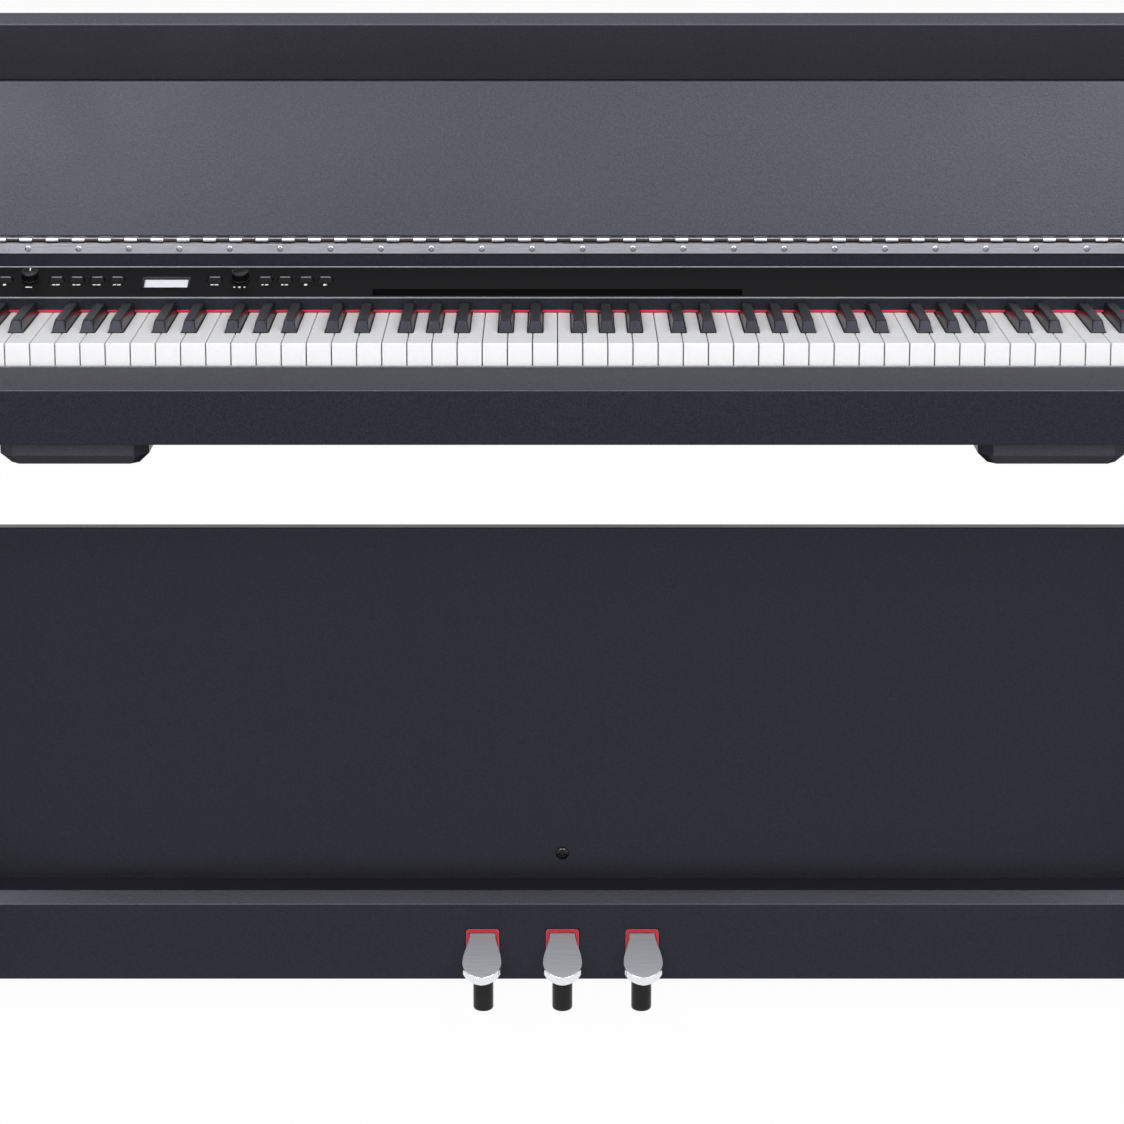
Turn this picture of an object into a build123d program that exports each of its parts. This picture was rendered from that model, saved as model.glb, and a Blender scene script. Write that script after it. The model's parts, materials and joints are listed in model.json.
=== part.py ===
"""Digital piano on a furniture stand, in millimetres.

+X points to the player's right, +Y to the back and +Z up. The origin is on the
floor, under the middle of the bounding box. Cross-sections are drawn with
u, the distance behind the front face of the console, and z above the floor.
"""

from build123d import *
import math
import os

os.makedirs("parts", exist_ok=True)

# Cabinet
WIDTH = 1360.0
DEPTH = 380.0
FRONT = -DEPTH / 2
SIDE_THICKNESS = 20.0
INNER_X = WIDTH / 2 - SIDE_THICKNESS
BOARD = 15.0
BOTTOM_Z = 678.0
BOTTOM_BOARD = 12.0
TOP_Z = 826.3
BACK_U = DEPTH - BOARD
RISER_U = 242.0
SLIP_FACE_TOP = 730.0
SLIP_TOP = (30.0, 746.5)

# Keyboard
KEYBOARD_X = -5.5
WHITE_PITCH = 23.5
WHITE_KEYS = 52
KEY_GAP = 0.45
KEY_TOP = 768.0
KEY_BOTTOM = 744.0
KEY_FRONT_U = 33.0
HEAD_BACK_U = 82.5
KEY_BACK_U = 190.0
TAIL_BACK_U = 257.0
TAIL_WIDTH = 10.0
TAIL_TOP = 765.0
TAIL_BOTTOM = 747.0
BLACK_FRONT_U = 83.5
BLACK_BACK_U = 182.5
BLACK_BASE = 13.6
BLACK_TOP = 9.8
BLACK_RISE = 11.0
BLACK_SLOPE = 9.0
BLACK_NOTCH = 15.2
PIVOT_U = 250.0
PIVOT_Z = 756.0
PIVOT_R = 2.5
RUNNING_CLEARANCE = 0.05
KEYBOARD_X0 = KEYBOARD_X - WHITE_PITCH * WHITE_KEYS / 2
KEYBOARD_X1 = KEYBOARD_X + WHITE_PITCH * WHITE_KEYS / 2
CHEEK_GAP = 1.5

# Ends of the console: they rise from the front of the keys to the flat top
CHEEK_FRONT = (30.0, KEY_TOP - 5.0)
CHEEK_BREAK = (79.0, TOP_Z - 2.5)
CHEEK_TOP_U = 100.0

# Control panel, a sloping moulding behind the keys
PANEL_U = 185.0
PANEL_STRIP_Z = 770.7
PANEL_EDGE_Z = 783.4
PANEL_BACK_Z = 803.3
PANEL_BACK_U = 239.0
PANEL_WALL = 3.0
PANEL_ANGLE = math.degrees(math.atan2(PANEL_BACK_Z - PANEL_EDGE_Z, PANEL_BACK_U - PANEL_U))
SLOT_X0 = -186.7
SLOT_X1 = 175.7
SLOT_V0 = 3.3
SLOT_V1 = 15.9
SLOT_DEPTH = 10.0

# Lid, resting open on its back stop
HINGE_U = 241.0
HINGE_Z = 830.5
LID_LEAN = 10.0
LID_PANEL_LENGTH = 158.0
LID_FLAP_LENGTH = 78.3
LID_BEND = 50.0
LID_THICKNESS = 17.0
LID_WIDTH = 1356.0
LID_START = 3.6
KNUCKLE_R = 3.3
HINGE_PIN_R = 1.5
KNUCKLE_PITCH = 26.0
KNUCKLE_LENGTH = 12.7
LEAF = 1.0
HINGE_SCREW_PITCH = 50.0

# Stand
GLIDE_HEIGHT = 12.0
FOOT_HEIGHT = 72.0
ARM_BOTTOM = BOTTOM_Z - 14.0
UPRIGHT_U = 235.0
REAR_BOARD_U = 310.6
REAR_BOARD_TOP = 518.0
BOX_U = 266.0
BOX_BOTTOM = 40.5
BOX_TOP = 135.5
BOX_CHAMFER = 12.0
PEDAL_PITCH = 83.4
PEDAL_TIP_U = 198.0
PEDAL_THICKNESS = 8.4
PEDAL_PIVOT_U = 296.0
PEDAL_PIVOT_Z = 87.5
PEDAL_ROD_R = 3.0
PEDAL_NECK = 27.4
PEDAL_MAX = 41.0
PEDAL_XS = (-PEDAL_PITCH, 0.0, PEDAL_PITCH)


def at(u, z):
    """Cross-section point as (y, z)."""
    return (FRONT + u, z)


def rail(points, x0, x1, mode=Mode.ADD):
    """Add a straight piece with one outline, given as (u, z), from x0 to x1."""
    with BuildSketch(Plane.YZ.offset(x0)) as outline:
        with BuildLine():
            Polyline(*[at(u, z) for u, z in points], close=True)
        make_face()
    extrude(outline.sketch, amount=x1 - x0, mode=mode)


def board(x0, x1, u0, u1, z0, z1, mode=Mode.ADD):
    """Add a plain board between two corners."""
    rail([(u0, z0), (u1, z0), (u1, z1), (u0, z1)], x0, x1, mode)


def upright_cylinder(x, u, z0, z1, radius, mode=Mode.ADD):
    """Add a cylinder that stands on z0."""
    with BuildSketch(Plane.XY.offset(z0)) as circle:
        with Locations((x, FRONT + u)):
            Circle(radius)
    extrude(circle.sketch, amount=z1 - z0, mode=mode)


def cross_rod(u, z, x0, x1, radius, mode=Mode.ADD):
    """Add a round bar along X."""
    with BuildSketch(Plane.YZ.offset(x0)) as circle:
        with Locations(at(u, z)):
            Circle(radius)
    extrude(circle.sketch, amount=x1 - x0, mode=mode)


def save(piece, name):
    """Label a finished piece and write its STEP file."""
    piece.part.label = name
    export_step(piece.part, f"parts/{name}.step")


# ---------------------------------------------------------------- stand
SIDE_OUTLINE = [
    (0.0, GLIDE_HEIGHT),
    (0.0, FOOT_HEIGHT - 22.0),
    (42.0, FOOT_HEIGHT),
    (UPRIGHT_U, FOOT_HEIGHT),
    (UPRIGHT_U, ARM_BOTTOM),
    (0.0, ARM_BOTTOM),
    (0.0, SLIP_FACE_TOP),
    (26.0, SLIP_TOP[1] - 2.0),
    CHEEK_FRONT,
    CHEEK_BREAK,
    (CHEEK_TOP_U, TOP_Z),
    (DEPTH, TOP_Z),
    (DEPTH, GLIDE_HEIGHT),
]
INNER_CORNER_R = 28.0

for side, start in (("left", -WIDTH / 2), ("right", INNER_X)):
    with BuildPart() as side_panel:
        rail(SIDE_OUTLINE, start, start + SIDE_THICKNESS)
        across = side_panel.edges().filter_by(Axis.X)
        inner = [
            edge
            for edge in across
            if abs(edge.center().Y - (FRONT + UPRIGHT_U)) < 1.0
        ]
        fillet(inner, INNER_CORNER_R)
        toe = side_panel.edges().filter_by(Axis.X).group_by(Axis.Y)[0]
        fillet(toe, 3.0)
    save(side_panel, f"side_panel_{side}")

GLIDE_R = 9.0
with BuildPart() as floor_glides:
    for x in (-WIDTH / 2 + SIDE_THICKNESS / 2, WIDTH / 2 - SIDE_THICKNESS / 2):
        for u in (40.0, DEPTH - 40.0):
            upright_cylinder(x, u, 0.0, GLIDE_HEIGHT, GLIDE_R)
save(floor_glides, "floor_glides")

with BuildPart() as rear_board:
    board(-INNER_X, INNER_X, REAR_BOARD_U, REAR_BOARD_U + BOARD, BOX_BOTTOM, REAR_BOARD_TOP)
save(rear_board, "rear_board")

# The pedal box is a front board and a ledge board; pedals pass through its front
PEDAL_HOLE_WIDTH = 34.4
PEDAL_HOLE_Z = (67.5, 95.8)
BOX_FRONT = [
    (BOX_U, BOX_BOTTOM),
    (BOX_U, BOX_TOP - BOX_CHAMFER),
    (BOX_U + BOX_CHAMFER, BOX_TOP),
    (BOX_U + BOARD, BOX_TOP),
    (BOX_U + BOARD, BOX_BOTTOM),
]
with BuildPart() as pedal_box:
    rail(BOX_FRONT, -INNER_X, INNER_X)
    board(-INNER_X, INNER_X, BOX_U + BOARD, REAR_BOARD_U, BOX_TOP - BOARD, BOX_TOP)
    for x in PEDAL_XS:
        board(
            x - PEDAL_HOLE_WIDTH / 2,
            x + PEDAL_HOLE_WIDTH / 2,
            BOX_U,
            BOX_U + BOARD,
            *PEDAL_HOLE_Z,
            mode=Mode.SUBTRACT,
        )
save(pedal_box, "pedal_box")

# Felt frames line the three openings
FELT_WALL = 2.9
FELT_PROUD = 1.5
with BuildPart() as pedal_bushes:
    for x in PEDAL_XS:
        x0 = x - PEDAL_HOLE_WIDTH / 2
        x1 = x + PEDAL_HOLE_WIDTH / 2
        z0, z1 = PEDAL_HOLE_Z
        board(x0, x1, BOX_U - FELT_PROUD, BOX_U + BOARD, z0, z1)
        board(
            x0 + FELT_WALL,
            x1 - FELT_WALL,
            BOX_U - FELT_PROUD,
            BOX_U + BOARD,
            z0 + FELT_WALL,
            z1 - FELT_WALL,
            mode=Mode.SUBTRACT,
        )
save(pedal_bushes, "pedal_bushes")

FOOT_R = 10.65
FOOT_U = 285.0
with BuildPart() as support_feet:
    for x in PEDAL_XS:
        upright_cylinder(x, FOOT_U, 0.0, BOX_BOTTOM, FOOT_R)
save(support_feet, "support_feet")

# Steel tray with an ear at each side of each pedal, which holds the pivot rod
TRAY_PLATE = 2.0
EAR_GAP = 19.0
ROD_HALF = PEDAL_PITCH + EAR_GAP + TRAY_PLATE + 2.0
with BuildPart() as pedal_chassis:
    board(
        -ROD_HALF,
        ROD_HALF,
        BOX_U + BOARD,
        REAR_BOARD_U,
        BOX_BOTTOM,
        BOX_BOTTOM + TRAY_PLATE,
    )
    for x in PEDAL_XS:
        for ear in (x - EAR_GAP - TRAY_PLATE, x + EAR_GAP):
            board(
                ear,
                ear + TRAY_PLATE,
                BOX_U + BOARD + 2.0,
                REAR_BOARD_U - 2.0,
                BOX_BOTTOM,
                PEDAL_PIVOT_Z + 12.0,
            )
    cross_rod(PEDAL_PIVOT_U, PEDAL_PIVOT_Z, -ROD_HALF, ROD_HALF, PEDAL_ROD_R, Mode.SUBTRACT)
save(pedal_chassis, "pedal_chassis")

with BuildPart() as pedal_pivot_rod:
    cross_rod(PEDAL_PIVOT_U, PEDAL_PIVOT_Z, -ROD_HALF, ROD_HALF, PEDAL_ROD_R)
save(pedal_pivot_rod, "pedal_pivot_rod")

# Each pedal widens from its neck to a round tip and curves down to the front
HUB_R = 7.5
PEDAL_TIP_Z = 69.7
PEDAL_BOX_Z = 91.8
TIP_R = 20.5
WIDEST_U = PEDAL_TIP_U + TIP_R
NECK_U = 246.0


def pedal_side(drop):
    """Side line of a pedal, moved down by drop, from the tip to the back end."""
    tip = at(PEDAL_TIP_U - 1.0, PEDAL_TIP_Z - drop)
    middle = at((PEDAL_TIP_U + BOX_U) / 2, (PEDAL_TIP_Z + PEDAL_BOX_Z) / 2 + 2.6 - drop)
    neck = at(BOX_U, PEDAL_BOX_Z - drop)
    return tip, middle, neck


for name, x in zip(("left", "middle", "right"), PEDAL_XS):
    with BuildPart() as pedal:
        with BuildSketch(Plane.XY) as plan:
            with BuildLine():
                left_neck = (x - PEDAL_NECK / 2, FRONT + NECK_U)
                right_neck = (x + PEDAL_NECK / 2, FRONT + NECK_U)
                left_wide = (x - PEDAL_MAX / 2, FRONT + WIDEST_U)
                right_wide = (x + PEDAL_MAX / 2, FRONT + WIDEST_U)
                back_y = FRONT + PEDAL_PIVOT_U + HUB_R
                ThreePointArc(left_wide, (x, FRONT + PEDAL_TIP_U), right_wide)
                Spline(right_wide, right_neck, tangents=[(0, 1), (0, 1)])
                Polyline(
                    right_neck,
                    (x + PEDAL_NECK / 2, back_y),
                    (x - PEDAL_NECK / 2, back_y),
                    left_neck,
                )
                Spline(left_neck, left_wide, tangents=[(0, -1), (0, -1)])
            make_face()
        extrude(amount=BOX_TOP)
        with BuildSketch(Plane.YZ.offset(x - PEDAL_MAX)) as side:
            with BuildLine():
                top_tip, top_middle, top_neck = pedal_side(0.0)
                low_tip, low_middle, low_neck = pedal_side(PEDAL_THICKNESS)
                back_top = (FRONT + PEDAL_PIVOT_U + HUB_R, PEDAL_BOX_Z)
                back_low = (FRONT + PEDAL_PIVOT_U + HUB_R, PEDAL_BOX_Z - PEDAL_THICKNESS)
                ThreePointArc(top_tip, top_middle, top_neck)
                Polyline(top_neck, back_top, back_low, low_neck)
                ThreePointArc(low_neck, low_middle, low_tip)
                Line(low_tip, top_tip)
            make_face()
        extrude(amount=2 * PEDAL_MAX, mode=Mode.INTERSECT)
        cross_rod(
            PEDAL_PIVOT_U,
            PEDAL_PIVOT_Z,
            x - PEDAL_NECK / 2,
            x + PEDAL_NECK / 2,
            HUB_R,
        )
        cross_rod(
            PEDAL_PIVOT_U,
            PEDAL_PIVOT_Z,
            x - PEDAL_MAX,
            x + PEDAL_MAX,
            PEDAL_ROD_R + RUNNING_CLEARANCE,
            Mode.SUBTRACT,
        )
    save(pedal, f"pedal_{name}")

# Torsion springs coiled on the rod, between each pedal's hub and its right ear
WIRE_R = 0.7
COIL_TURNS = 3
with BuildPart() as pedal_springs:
    for x in PEDAL_XS:
        for turn in range(COIL_TURNS):
            coil_x = x + PEDAL_NECK / 2 + 0.9 + turn * 2 * WIRE_R * 0.98
            with BuildSketch(Plane.XY.offset(PEDAL_PIVOT_Z)) as wire:
                with Locations((coil_x, FRONT + PEDAL_PIVOT_U - PEDAL_ROD_R - 1.2 * WIRE_R)):
                    Circle(WIRE_R)
            axis = Axis((0, FRONT + PEDAL_PIVOT_U, PEDAL_PIVOT_Z), (1, 0, 0))
            revolve(wire.sketch, axis=axis)
save(pedal_springs, "pedal_springs")

# -------------------------------------------------------------- console
SLIP_OUTLINE = [
    (0.0, BOTTOM_Z),
    (0.0, SLIP_FACE_TOP),
    SLIP_TOP,
    (SLIP_TOP[0], SLIP_TOP[1] - 12.0),
    (BOARD, SLIP_FACE_TOP - 4.0),
    (BOARD, BOTTOM_Z),
]
with BuildPart() as front_rail:
    rail(SLIP_OUTLINE, -INNER_X, INNER_X)
    long_edges = front_rail.edges().filter_by(Axis.X)
    rounded = [
        edge
        for edge in long_edges
        if edge.center().Y < FRONT + 1.0 or edge.center().Z > SLIP_TOP[1] - 1.0
    ]
    fillet(rounded, 1.2)
save(front_rail, "front_rail")

POD_XS = (-459.0, 459.0)
POD_WIDTH = 140.0
POD_U0 = 16.0
POD_U1 = 226.0
POD_HEIGHT = 24.0
POD_CORNER = 13.0
POD_BEVEL = 10.0
POD_WALL = 3.0
SPEAKER_U = 118.0
SPEAKER_R = 48.0
SPEAKER_OPENING_R = 52.0
GRILLE_SLOTS = 9
GRILLE_PITCH = 8.0
GRILLE_SLOT_WIDTH = 4.2

with BuildPart() as bottom_board:
    board(-INNER_X, INNER_X, BOARD, BACK_U, BOTTOM_Z, BOTTOM_Z + BOTTOM_BOARD)
    for x in POD_XS:
        upright_cylinder(
            x,
            SPEAKER_U,
            BOTTOM_Z,
            BOTTOM_Z + BOTTOM_BOARD,
            SPEAKER_OPENING_R,
            Mode.SUBTRACT,
        )
save(bottom_board, "bottom_board")


def pod_body(x, inset, floor, mode):
    """Add or cut a flat-bottomed tub with bevelled lower edges."""
    centre = (x, FRONT + (POD_U0 + POD_U1) / 2)
    width = POD_WIDTH - 2 * inset
    length = POD_U1 - POD_U0 - 2 * inset
    corner = POD_CORNER - inset
    bevel_top = BOTTOM_Z - POD_HEIGHT + POD_BEVEL
    with BuildSketch(Plane.XY.offset(bevel_top)) as plan:
        with Locations(centre):
            Rectangle(width, length)
        chamfer(plan.vertices(), corner)
    extrude(plan.sketch, amount=BOTTOM_Z - bevel_top, mode=mode)
    bevel = POD_BEVEL - floor
    with BuildSketch(Plane.XY.offset(bevel_top - bevel)) as low_plan:
        with Locations(centre):
            Rectangle(width - 2 * bevel, length - 2 * bevel)
        chamfer(low_plan.vertices(), corner * 0.6)
    loft([low_plan.sketch.face(), plan.sketch.face()], mode=mode)


with BuildPart() as speaker_pods:
    for x in POD_XS:
        pod_body(x, 0.0, 0.0, Mode.ADD)
    for x in POD_XS:
        pod_body(x, POD_WALL, POD_WALL, Mode.SUBTRACT)
        for slot in range(GRILLE_SLOTS):
            slot_u = SPEAKER_U + (slot - (GRILLE_SLOTS - 1) / 2) * GRILLE_PITCH
            half = math.sqrt(40.0**2 - (slot_u - SPEAKER_U) ** 2)
            board(
                x - half,
                x + half,
                slot_u - GRILLE_SLOT_WIDTH / 2,
                slot_u + GRILLE_SLOT_WIDTH / 2,
                BOTTOM_Z - POD_HEIGHT,
                BOTTOM_Z - POD_HEIGHT + POD_WALL,
                Mode.SUBTRACT,
            )
save(speaker_pods, "speaker_pods")

# Drivers face down on the pod floors; their magnets stand in the board's openings
POD_FLOOR = BOTTOM_Z - POD_HEIGHT + POD_WALL
DRIVER_OUTLINE = [
    (42.0, 0.0),
    (SPEAKER_R, 0.0),
    (SPEAKER_R, 3.0),
    (44.0, 3.0),
    (24.0, 22.0),
    (27.0, 22.0),
    (27.0, 35.0),
    (0.0, 35.0),
    (0.0, 12.0),
    (12.0, 14.0),
]
with BuildPart() as speakers:
    for x in POD_XS:
        plane = Plane(origin=(x, FRONT + SPEAKER_U, POD_FLOOR), x_dir=(1, 0, 0), z_dir=(0, -1, 0))
        with BuildSketch(plane) as driver:
            with BuildLine():
                Polyline(*DRIVER_OUTLINE, close=True)
            make_face()
        revolve(driver.sketch, axis=Axis((x, FRONT + SPEAKER_U, POD_FLOOR), (0, 0, 1)))
save(speakers, "speakers")

# The cheeks close the console at each end of the keyboard and carry the shut lid
CHEEK_OUTLINE = [
    (30.0, BOTTOM_Z + BOTTOM_BOARD),
    CHEEK_FRONT,
    CHEEK_BREAK,
    (CHEEK_TOP_U, TOP_Z - 0.5),
    (RISER_U, TOP_Z - 0.5),
    (RISER_U, BOTTOM_Z + BOTTOM_BOARD),
]
CHEEK_LEFT_X = KEYBOARD_X0 - CHEEK_GAP
CHEEK_RIGHT_X = KEYBOARD_X1 + CHEEK_GAP
with BuildPart() as cheek_blocks:
    rail(CHEEK_OUTLINE, -INNER_X, CHEEK_LEFT_X)
    rail(CHEEK_OUTLINE, CHEEK_RIGHT_X, INNER_X)
save(cheek_blocks, "cheek_blocks")

RISER_BOTTOM = 773.0
with BuildPart() as top_board:
    board(-INNER_X, INNER_X, RISER_U, DEPTH, TOP_Z - BOARD, TOP_Z)
    board(-INNER_X, INNER_X, RISER_U, RISER_U + BOARD, RISER_BOTTOM, TOP_Z - BOARD)
save(top_board, "top_board")

# Sockets open through the back panel, on the player's left seen from the front
JACK_Z = 724.0
HEADPHONE_XS = (-560.0, -530.0)
HEADPHONE_R = 3.25
INLET_X = -480.0
INLET_R = 2.8
with BuildPart() as back_panel:
    board(-INNER_X, INNER_X, BACK_U, DEPTH, BOTTOM_Z, TOP_Z - BOARD)
    for x in HEADPHONE_XS:
        with BuildSketch(Plane.XZ.offset(-(FRONT + DEPTH))) as hole:
            with Locations((x, JACK_Z)):
                Circle(HEADPHONE_R)
        extrude(hole.sketch, amount=BOARD, mode=Mode.SUBTRACT)
    with BuildSketch(Plane.XZ.offset(-(FRONT + DEPTH))) as inlet:
        with Locations((INLET_X, JACK_Z)):
            Circle(INLET_R)
    extrude(inlet.sketch, amount=BOARD, mode=Mode.SUBTRACT)
save(back_panel, "back_panel")

# --------------------------------------------------------- control panel
SINE = math.sin(math.radians(PANEL_ANGLE))
COSINE = math.cos(math.radians(PANEL_ANGLE))
PANEL_X0 = CHEEK_LEFT_X
PANEL_X1 = CHEEK_RIGHT_X
CONTROL_V = 31.9
BUTTONS = {
    "power": -549.5,
    "function_1": -499.0,
    "function_2": -479.0,
    "function_3": -459.0,
    "function_4": -439.0,
    "menu": -343.0,
    "part_1": -293.4,
    "part_2": -274.0,
    "record": -253.2,
    "play": -234.0,
}
BUTTON_BASE = (15.0, 8.0)
BUTTON_TOP = (11.4, 3.0)
BUTTON_RISE = 3.0
BUTTON_CLEARANCE = 0.3
BUTTON_STEM = 6.4
KNOBS = {"volume": -525.0, "select": -318.0}
KNOB_V = 32.5
KNOB_R = 8.5
KNOB_HEIGHT = 10.0
KNOB_LIFT = 0.5
KNOB_BORE_DEPTH = 7.0
SHAFT_R = 3.0
DISPLAY_X = -390.5
DISPLAY_V = 26.4
DISPLAY_SIZE = (44.0, 18.6)
BOARD_DEPTH = 9.0


def panel_plane(lift=0.0):
    """Plane on the panel's face: local x is X, local y runs up the slope."""
    origin = (0, FRONT + PANEL_U - lift * SINE, PANEL_EDGE_Z + lift * COSINE)
    return Plane(origin=origin, x_dir=(1, 0, 0), z_dir=(0, -SINE, COSINE))


def on_panel(x, v, width, length, bottom, top, mode=Mode.ADD):
    """Add a block square to the panel between two lifts above its face."""
    with BuildSketch(panel_plane(bottom)) as block:
        with Locations((x, v)):
            Rectangle(width, length)
    extrude(block.sketch, amount=top - bottom, mode=mode)


def round_on_panel(x, v, radius, bottom, top, mode=Mode.ADD):
    """Add a cylinder square to the panel between two lifts above its face."""
    with BuildSketch(panel_plane(bottom)) as circle:
        with Locations((x, v)):
            Circle(radius)
    extrude(circle.sketch, amount=top - bottom, mode=mode)


PANEL_OUTLINE = [
    (PANEL_U, PANEL_STRIP_Z),
    (PANEL_U, PANEL_EDGE_Z),
    (PANEL_BACK_U, PANEL_BACK_Z),
    (RISER_U, PANEL_BACK_Z),
    (RISER_U, PANEL_BACK_Z - PANEL_WALL),
    (PANEL_BACK_U + 0.6, PANEL_BACK_Z - PANEL_WALL),
    (PANEL_U + PANEL_WALL, PANEL_EDGE_Z - PANEL_WALL + 0.6),
    (PANEL_U + PANEL_WALL, PANEL_STRIP_Z),
]
SLOT_X = (SLOT_X0 + SLOT_X1) / 2
SLOT_V = (SLOT_V0 + SLOT_V1) / 2
SLOT_LENGTH = SLOT_X1 - SLOT_X0
SLOT_WIDTH = SLOT_V1 - SLOT_V0
with BuildPart() as control_panel:
    rail(PANEL_OUTLINE, PANEL_X0, PANEL_X1)
    on_panel(
        SLOT_X,
        SLOT_V + 1.0,
        SLOT_LENGTH + 4.0,
        SLOT_WIDTH + 4.0,
        -SLOT_DEPTH - 2.0,
        -1.0,
    )
    on_panel(SLOT_X, SLOT_V, SLOT_LENGTH, SLOT_WIDTH, -SLOT_DEPTH, 5.0, Mode.SUBTRACT)
    on_panel(DISPLAY_X, DISPLAY_V, *DISPLAY_SIZE, -5.0, 5.0, Mode.SUBTRACT)
    for x in BUTTONS.values():
        on_panel(
            x,
            CONTROL_V,
            BUTTON_BASE[0] + 2 * BUTTON_CLEARANCE,
            BUTTON_BASE[1] + 2 * BUTTON_CLEARANCE,
            -5.0,
            5.0,
            Mode.SUBTRACT,
        )
    for x in KNOBS.values():
        round_on_panel(x, KNOB_V, SHAFT_R + 0.6, -5.0, 5.0, Mode.SUBTRACT)
save(control_panel, "control_panel")

# Each button is a low ridge on a stem; its steep long face looks to the player
for name, x in BUTTONS.items():
    with BuildPart() as button:
        on_panel(x, CONTROL_V, *BUTTON_BASE, -PANEL_WALL, 0.0)
        with BuildSketch(panel_plane()) as base:
            with Locations((x, CONTROL_V)):
                Rectangle(*BUTTON_BASE)
        with BuildSketch(panel_plane(BUTTON_RISE)) as ridge:
            with Locations((x, CONTROL_V + 1.6)):
                Rectangle(*BUTTON_TOP)
        loft([base.sketch.face(), ridge.sketch.face()])
        round_on_panel(x, CONTROL_V, 2.0, -BUTTON_STEM, -PANEL_WALL)
    save(button, f"button_{name}")

FLUTES = 16
for name, x in KNOBS.items():
    with BuildPart() as knob:
        round_on_panel(x, KNOB_V, KNOB_R, KNOB_LIFT, KNOB_HEIGHT)
        with BuildSketch(panel_plane(KNOB_LIFT + 1.5)) as flutes:
            with Locations((x, KNOB_V)):
                with PolarLocations(KNOB_R + 0.25, FLUTES):
                    Circle(0.9)
        extrude(flutes.sketch, amount=KNOB_HEIGHT, mode=Mode.SUBTRACT)
        round_on_panel(
            x,
            KNOB_V,
            SHAFT_R + RUNNING_CLEARANCE,
            KNOB_LIFT,
            KNOB_LIFT + KNOB_BORE_DEPTH,
            Mode.SUBTRACT,
        )
        on_panel(x, KNOB_V + 4.6, 1.4, 6.0, KNOB_HEIGHT - 0.6, KNOB_HEIGHT + 1.0, Mode.SUBTRACT)
    save(knob, f"{name}_knob")

with BuildPart() as display:
    on_panel(DISPLAY_X, DISPLAY_V, DISPLAY_SIZE[0] + 8.0, DISPLAY_SIZE[1] + 8.0, -BOARD_DEPTH, -4.2)
    on_panel(DISPLAY_X, DISPLAY_V, DISPLAY_SIZE[0] - 0.4, DISPLAY_SIZE[1] - 0.4, -4.2, -1.2)
save(display, "display")

# The panel's circuit board with its two rotary controls, and the main board
PANEL_BOARD_X0 = -572.0
PANEL_BOARD_X1 = -215.0
MAIN_BOARD = (240.0, 70.0)
MAIN_BOARD_U = 315.0
STANDOFF = 8.0
with BuildPart() as circuit_boards:
    on_panel(
        (PANEL_BOARD_X0 + PANEL_BOARD_X1) / 2,
        DISPLAY_V + 4.0,
        PANEL_BOARD_X1 - PANEL_BOARD_X0,
        34.0,
        -BOARD_DEPTH - 1.6,
        -BOARD_DEPTH,
    )
    for x in KNOBS.values():
        on_panel(x, KNOB_V, 11.0, 11.0, -BOARD_DEPTH, -PANEL_WALL - 0.4)
        round_on_panel(x, KNOB_V, SHAFT_R, -PANEL_WALL - 0.4, KNOB_BORE_DEPTH)
    low = BOTTOM_Z + BOTTOM_BOARD
    board(
        -MAIN_BOARD[0] / 2,
        MAIN_BOARD[0] / 2,
        MAIN_BOARD_U - MAIN_BOARD[1] / 2,
        MAIN_BOARD_U + MAIN_BOARD[1] / 2,
        low + STANDOFF,
        low + STANDOFF + 1.6,
    )
    for x in (-MAIN_BOARD[0] / 2 + 6.0, MAIN_BOARD[0] / 2 - 6.0):
        for u in (MAIN_BOARD_U - MAIN_BOARD[1] / 2 + 6.0, MAIN_BOARD_U + MAIN_BOARD[1] / 2 - 6.0):
            upright_cylinder(x, u, low, low + STANDOFF, 3.0)
    for x, width, height in ((-70.0, 30.0, 12.0), (-10.0, 22.0, 3.0), (55.0, 40.0, 9.0)):
        board(
            x,
            x + width,
            MAIN_BOARD_U - 18.0,
            MAIN_BOARD_U + 12.0,
            low + STANDOFF + 1.6,
            low + STANDOFF + 1.6 + height,
        )
save(circuit_boards, "circuit_boards")

# ------------------------------------------------------------- keyboard
OCTAVE = 7 * WHITE_PITCH
WHITE_SEMITONES = (0, 2, 4, 5, 7, 9, 11)
NOTE_NAMES = ("c", "cs", "d", "ds", "e", "f", "fs", "g", "gs", "a", "as", "b")
LOWEST_NOTE = 21
HIGHEST_NOTE = 108
MIDDLE_C = 60
FIRST_C = 24
FIRST_C_X = KEYBOARD_X0 + 2 * WHITE_PITCH


def octave_x(note):
    """Left edge of the octave, from C to B, that holds a note."""
    return FIRST_C_X + OCTAVE * ((note - FIRST_C) // 12)


def tail_x(note):
    """Centre of a key's tail: the tails share each octave evenly in two groups."""
    semitone = note % 12
    if semitone < 5:
        return octave_x(note) + (semitone + 0.5) * 3 * WHITE_PITCH / 5
    return octave_x(note) + 3 * WHITE_PITCH + (semitone - 4.5) * 4 * WHITE_PITCH / 7


def is_white(note):
    """Tell whether a note is a white key."""
    return note % 12 in WHITE_SEMITONES


def shank_span(note):
    """Side limits of a white key between its black neighbours."""
    left = octave_x(note) + WHITE_PITCH * WHITE_SEMITONES.index(note % 12) + KEY_GAP
    right = left + WHITE_PITCH - 2 * KEY_GAP
    if note > LOWEST_NOTE and not is_white(note - 1):
        left = tail_x(note - 1) + BLACK_NOTCH / 2
    if note < HIGHEST_NOTE and not is_white(note + 1):
        right = tail_x(note + 1) - BLACK_NOTCH / 2
    return left, right


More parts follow.
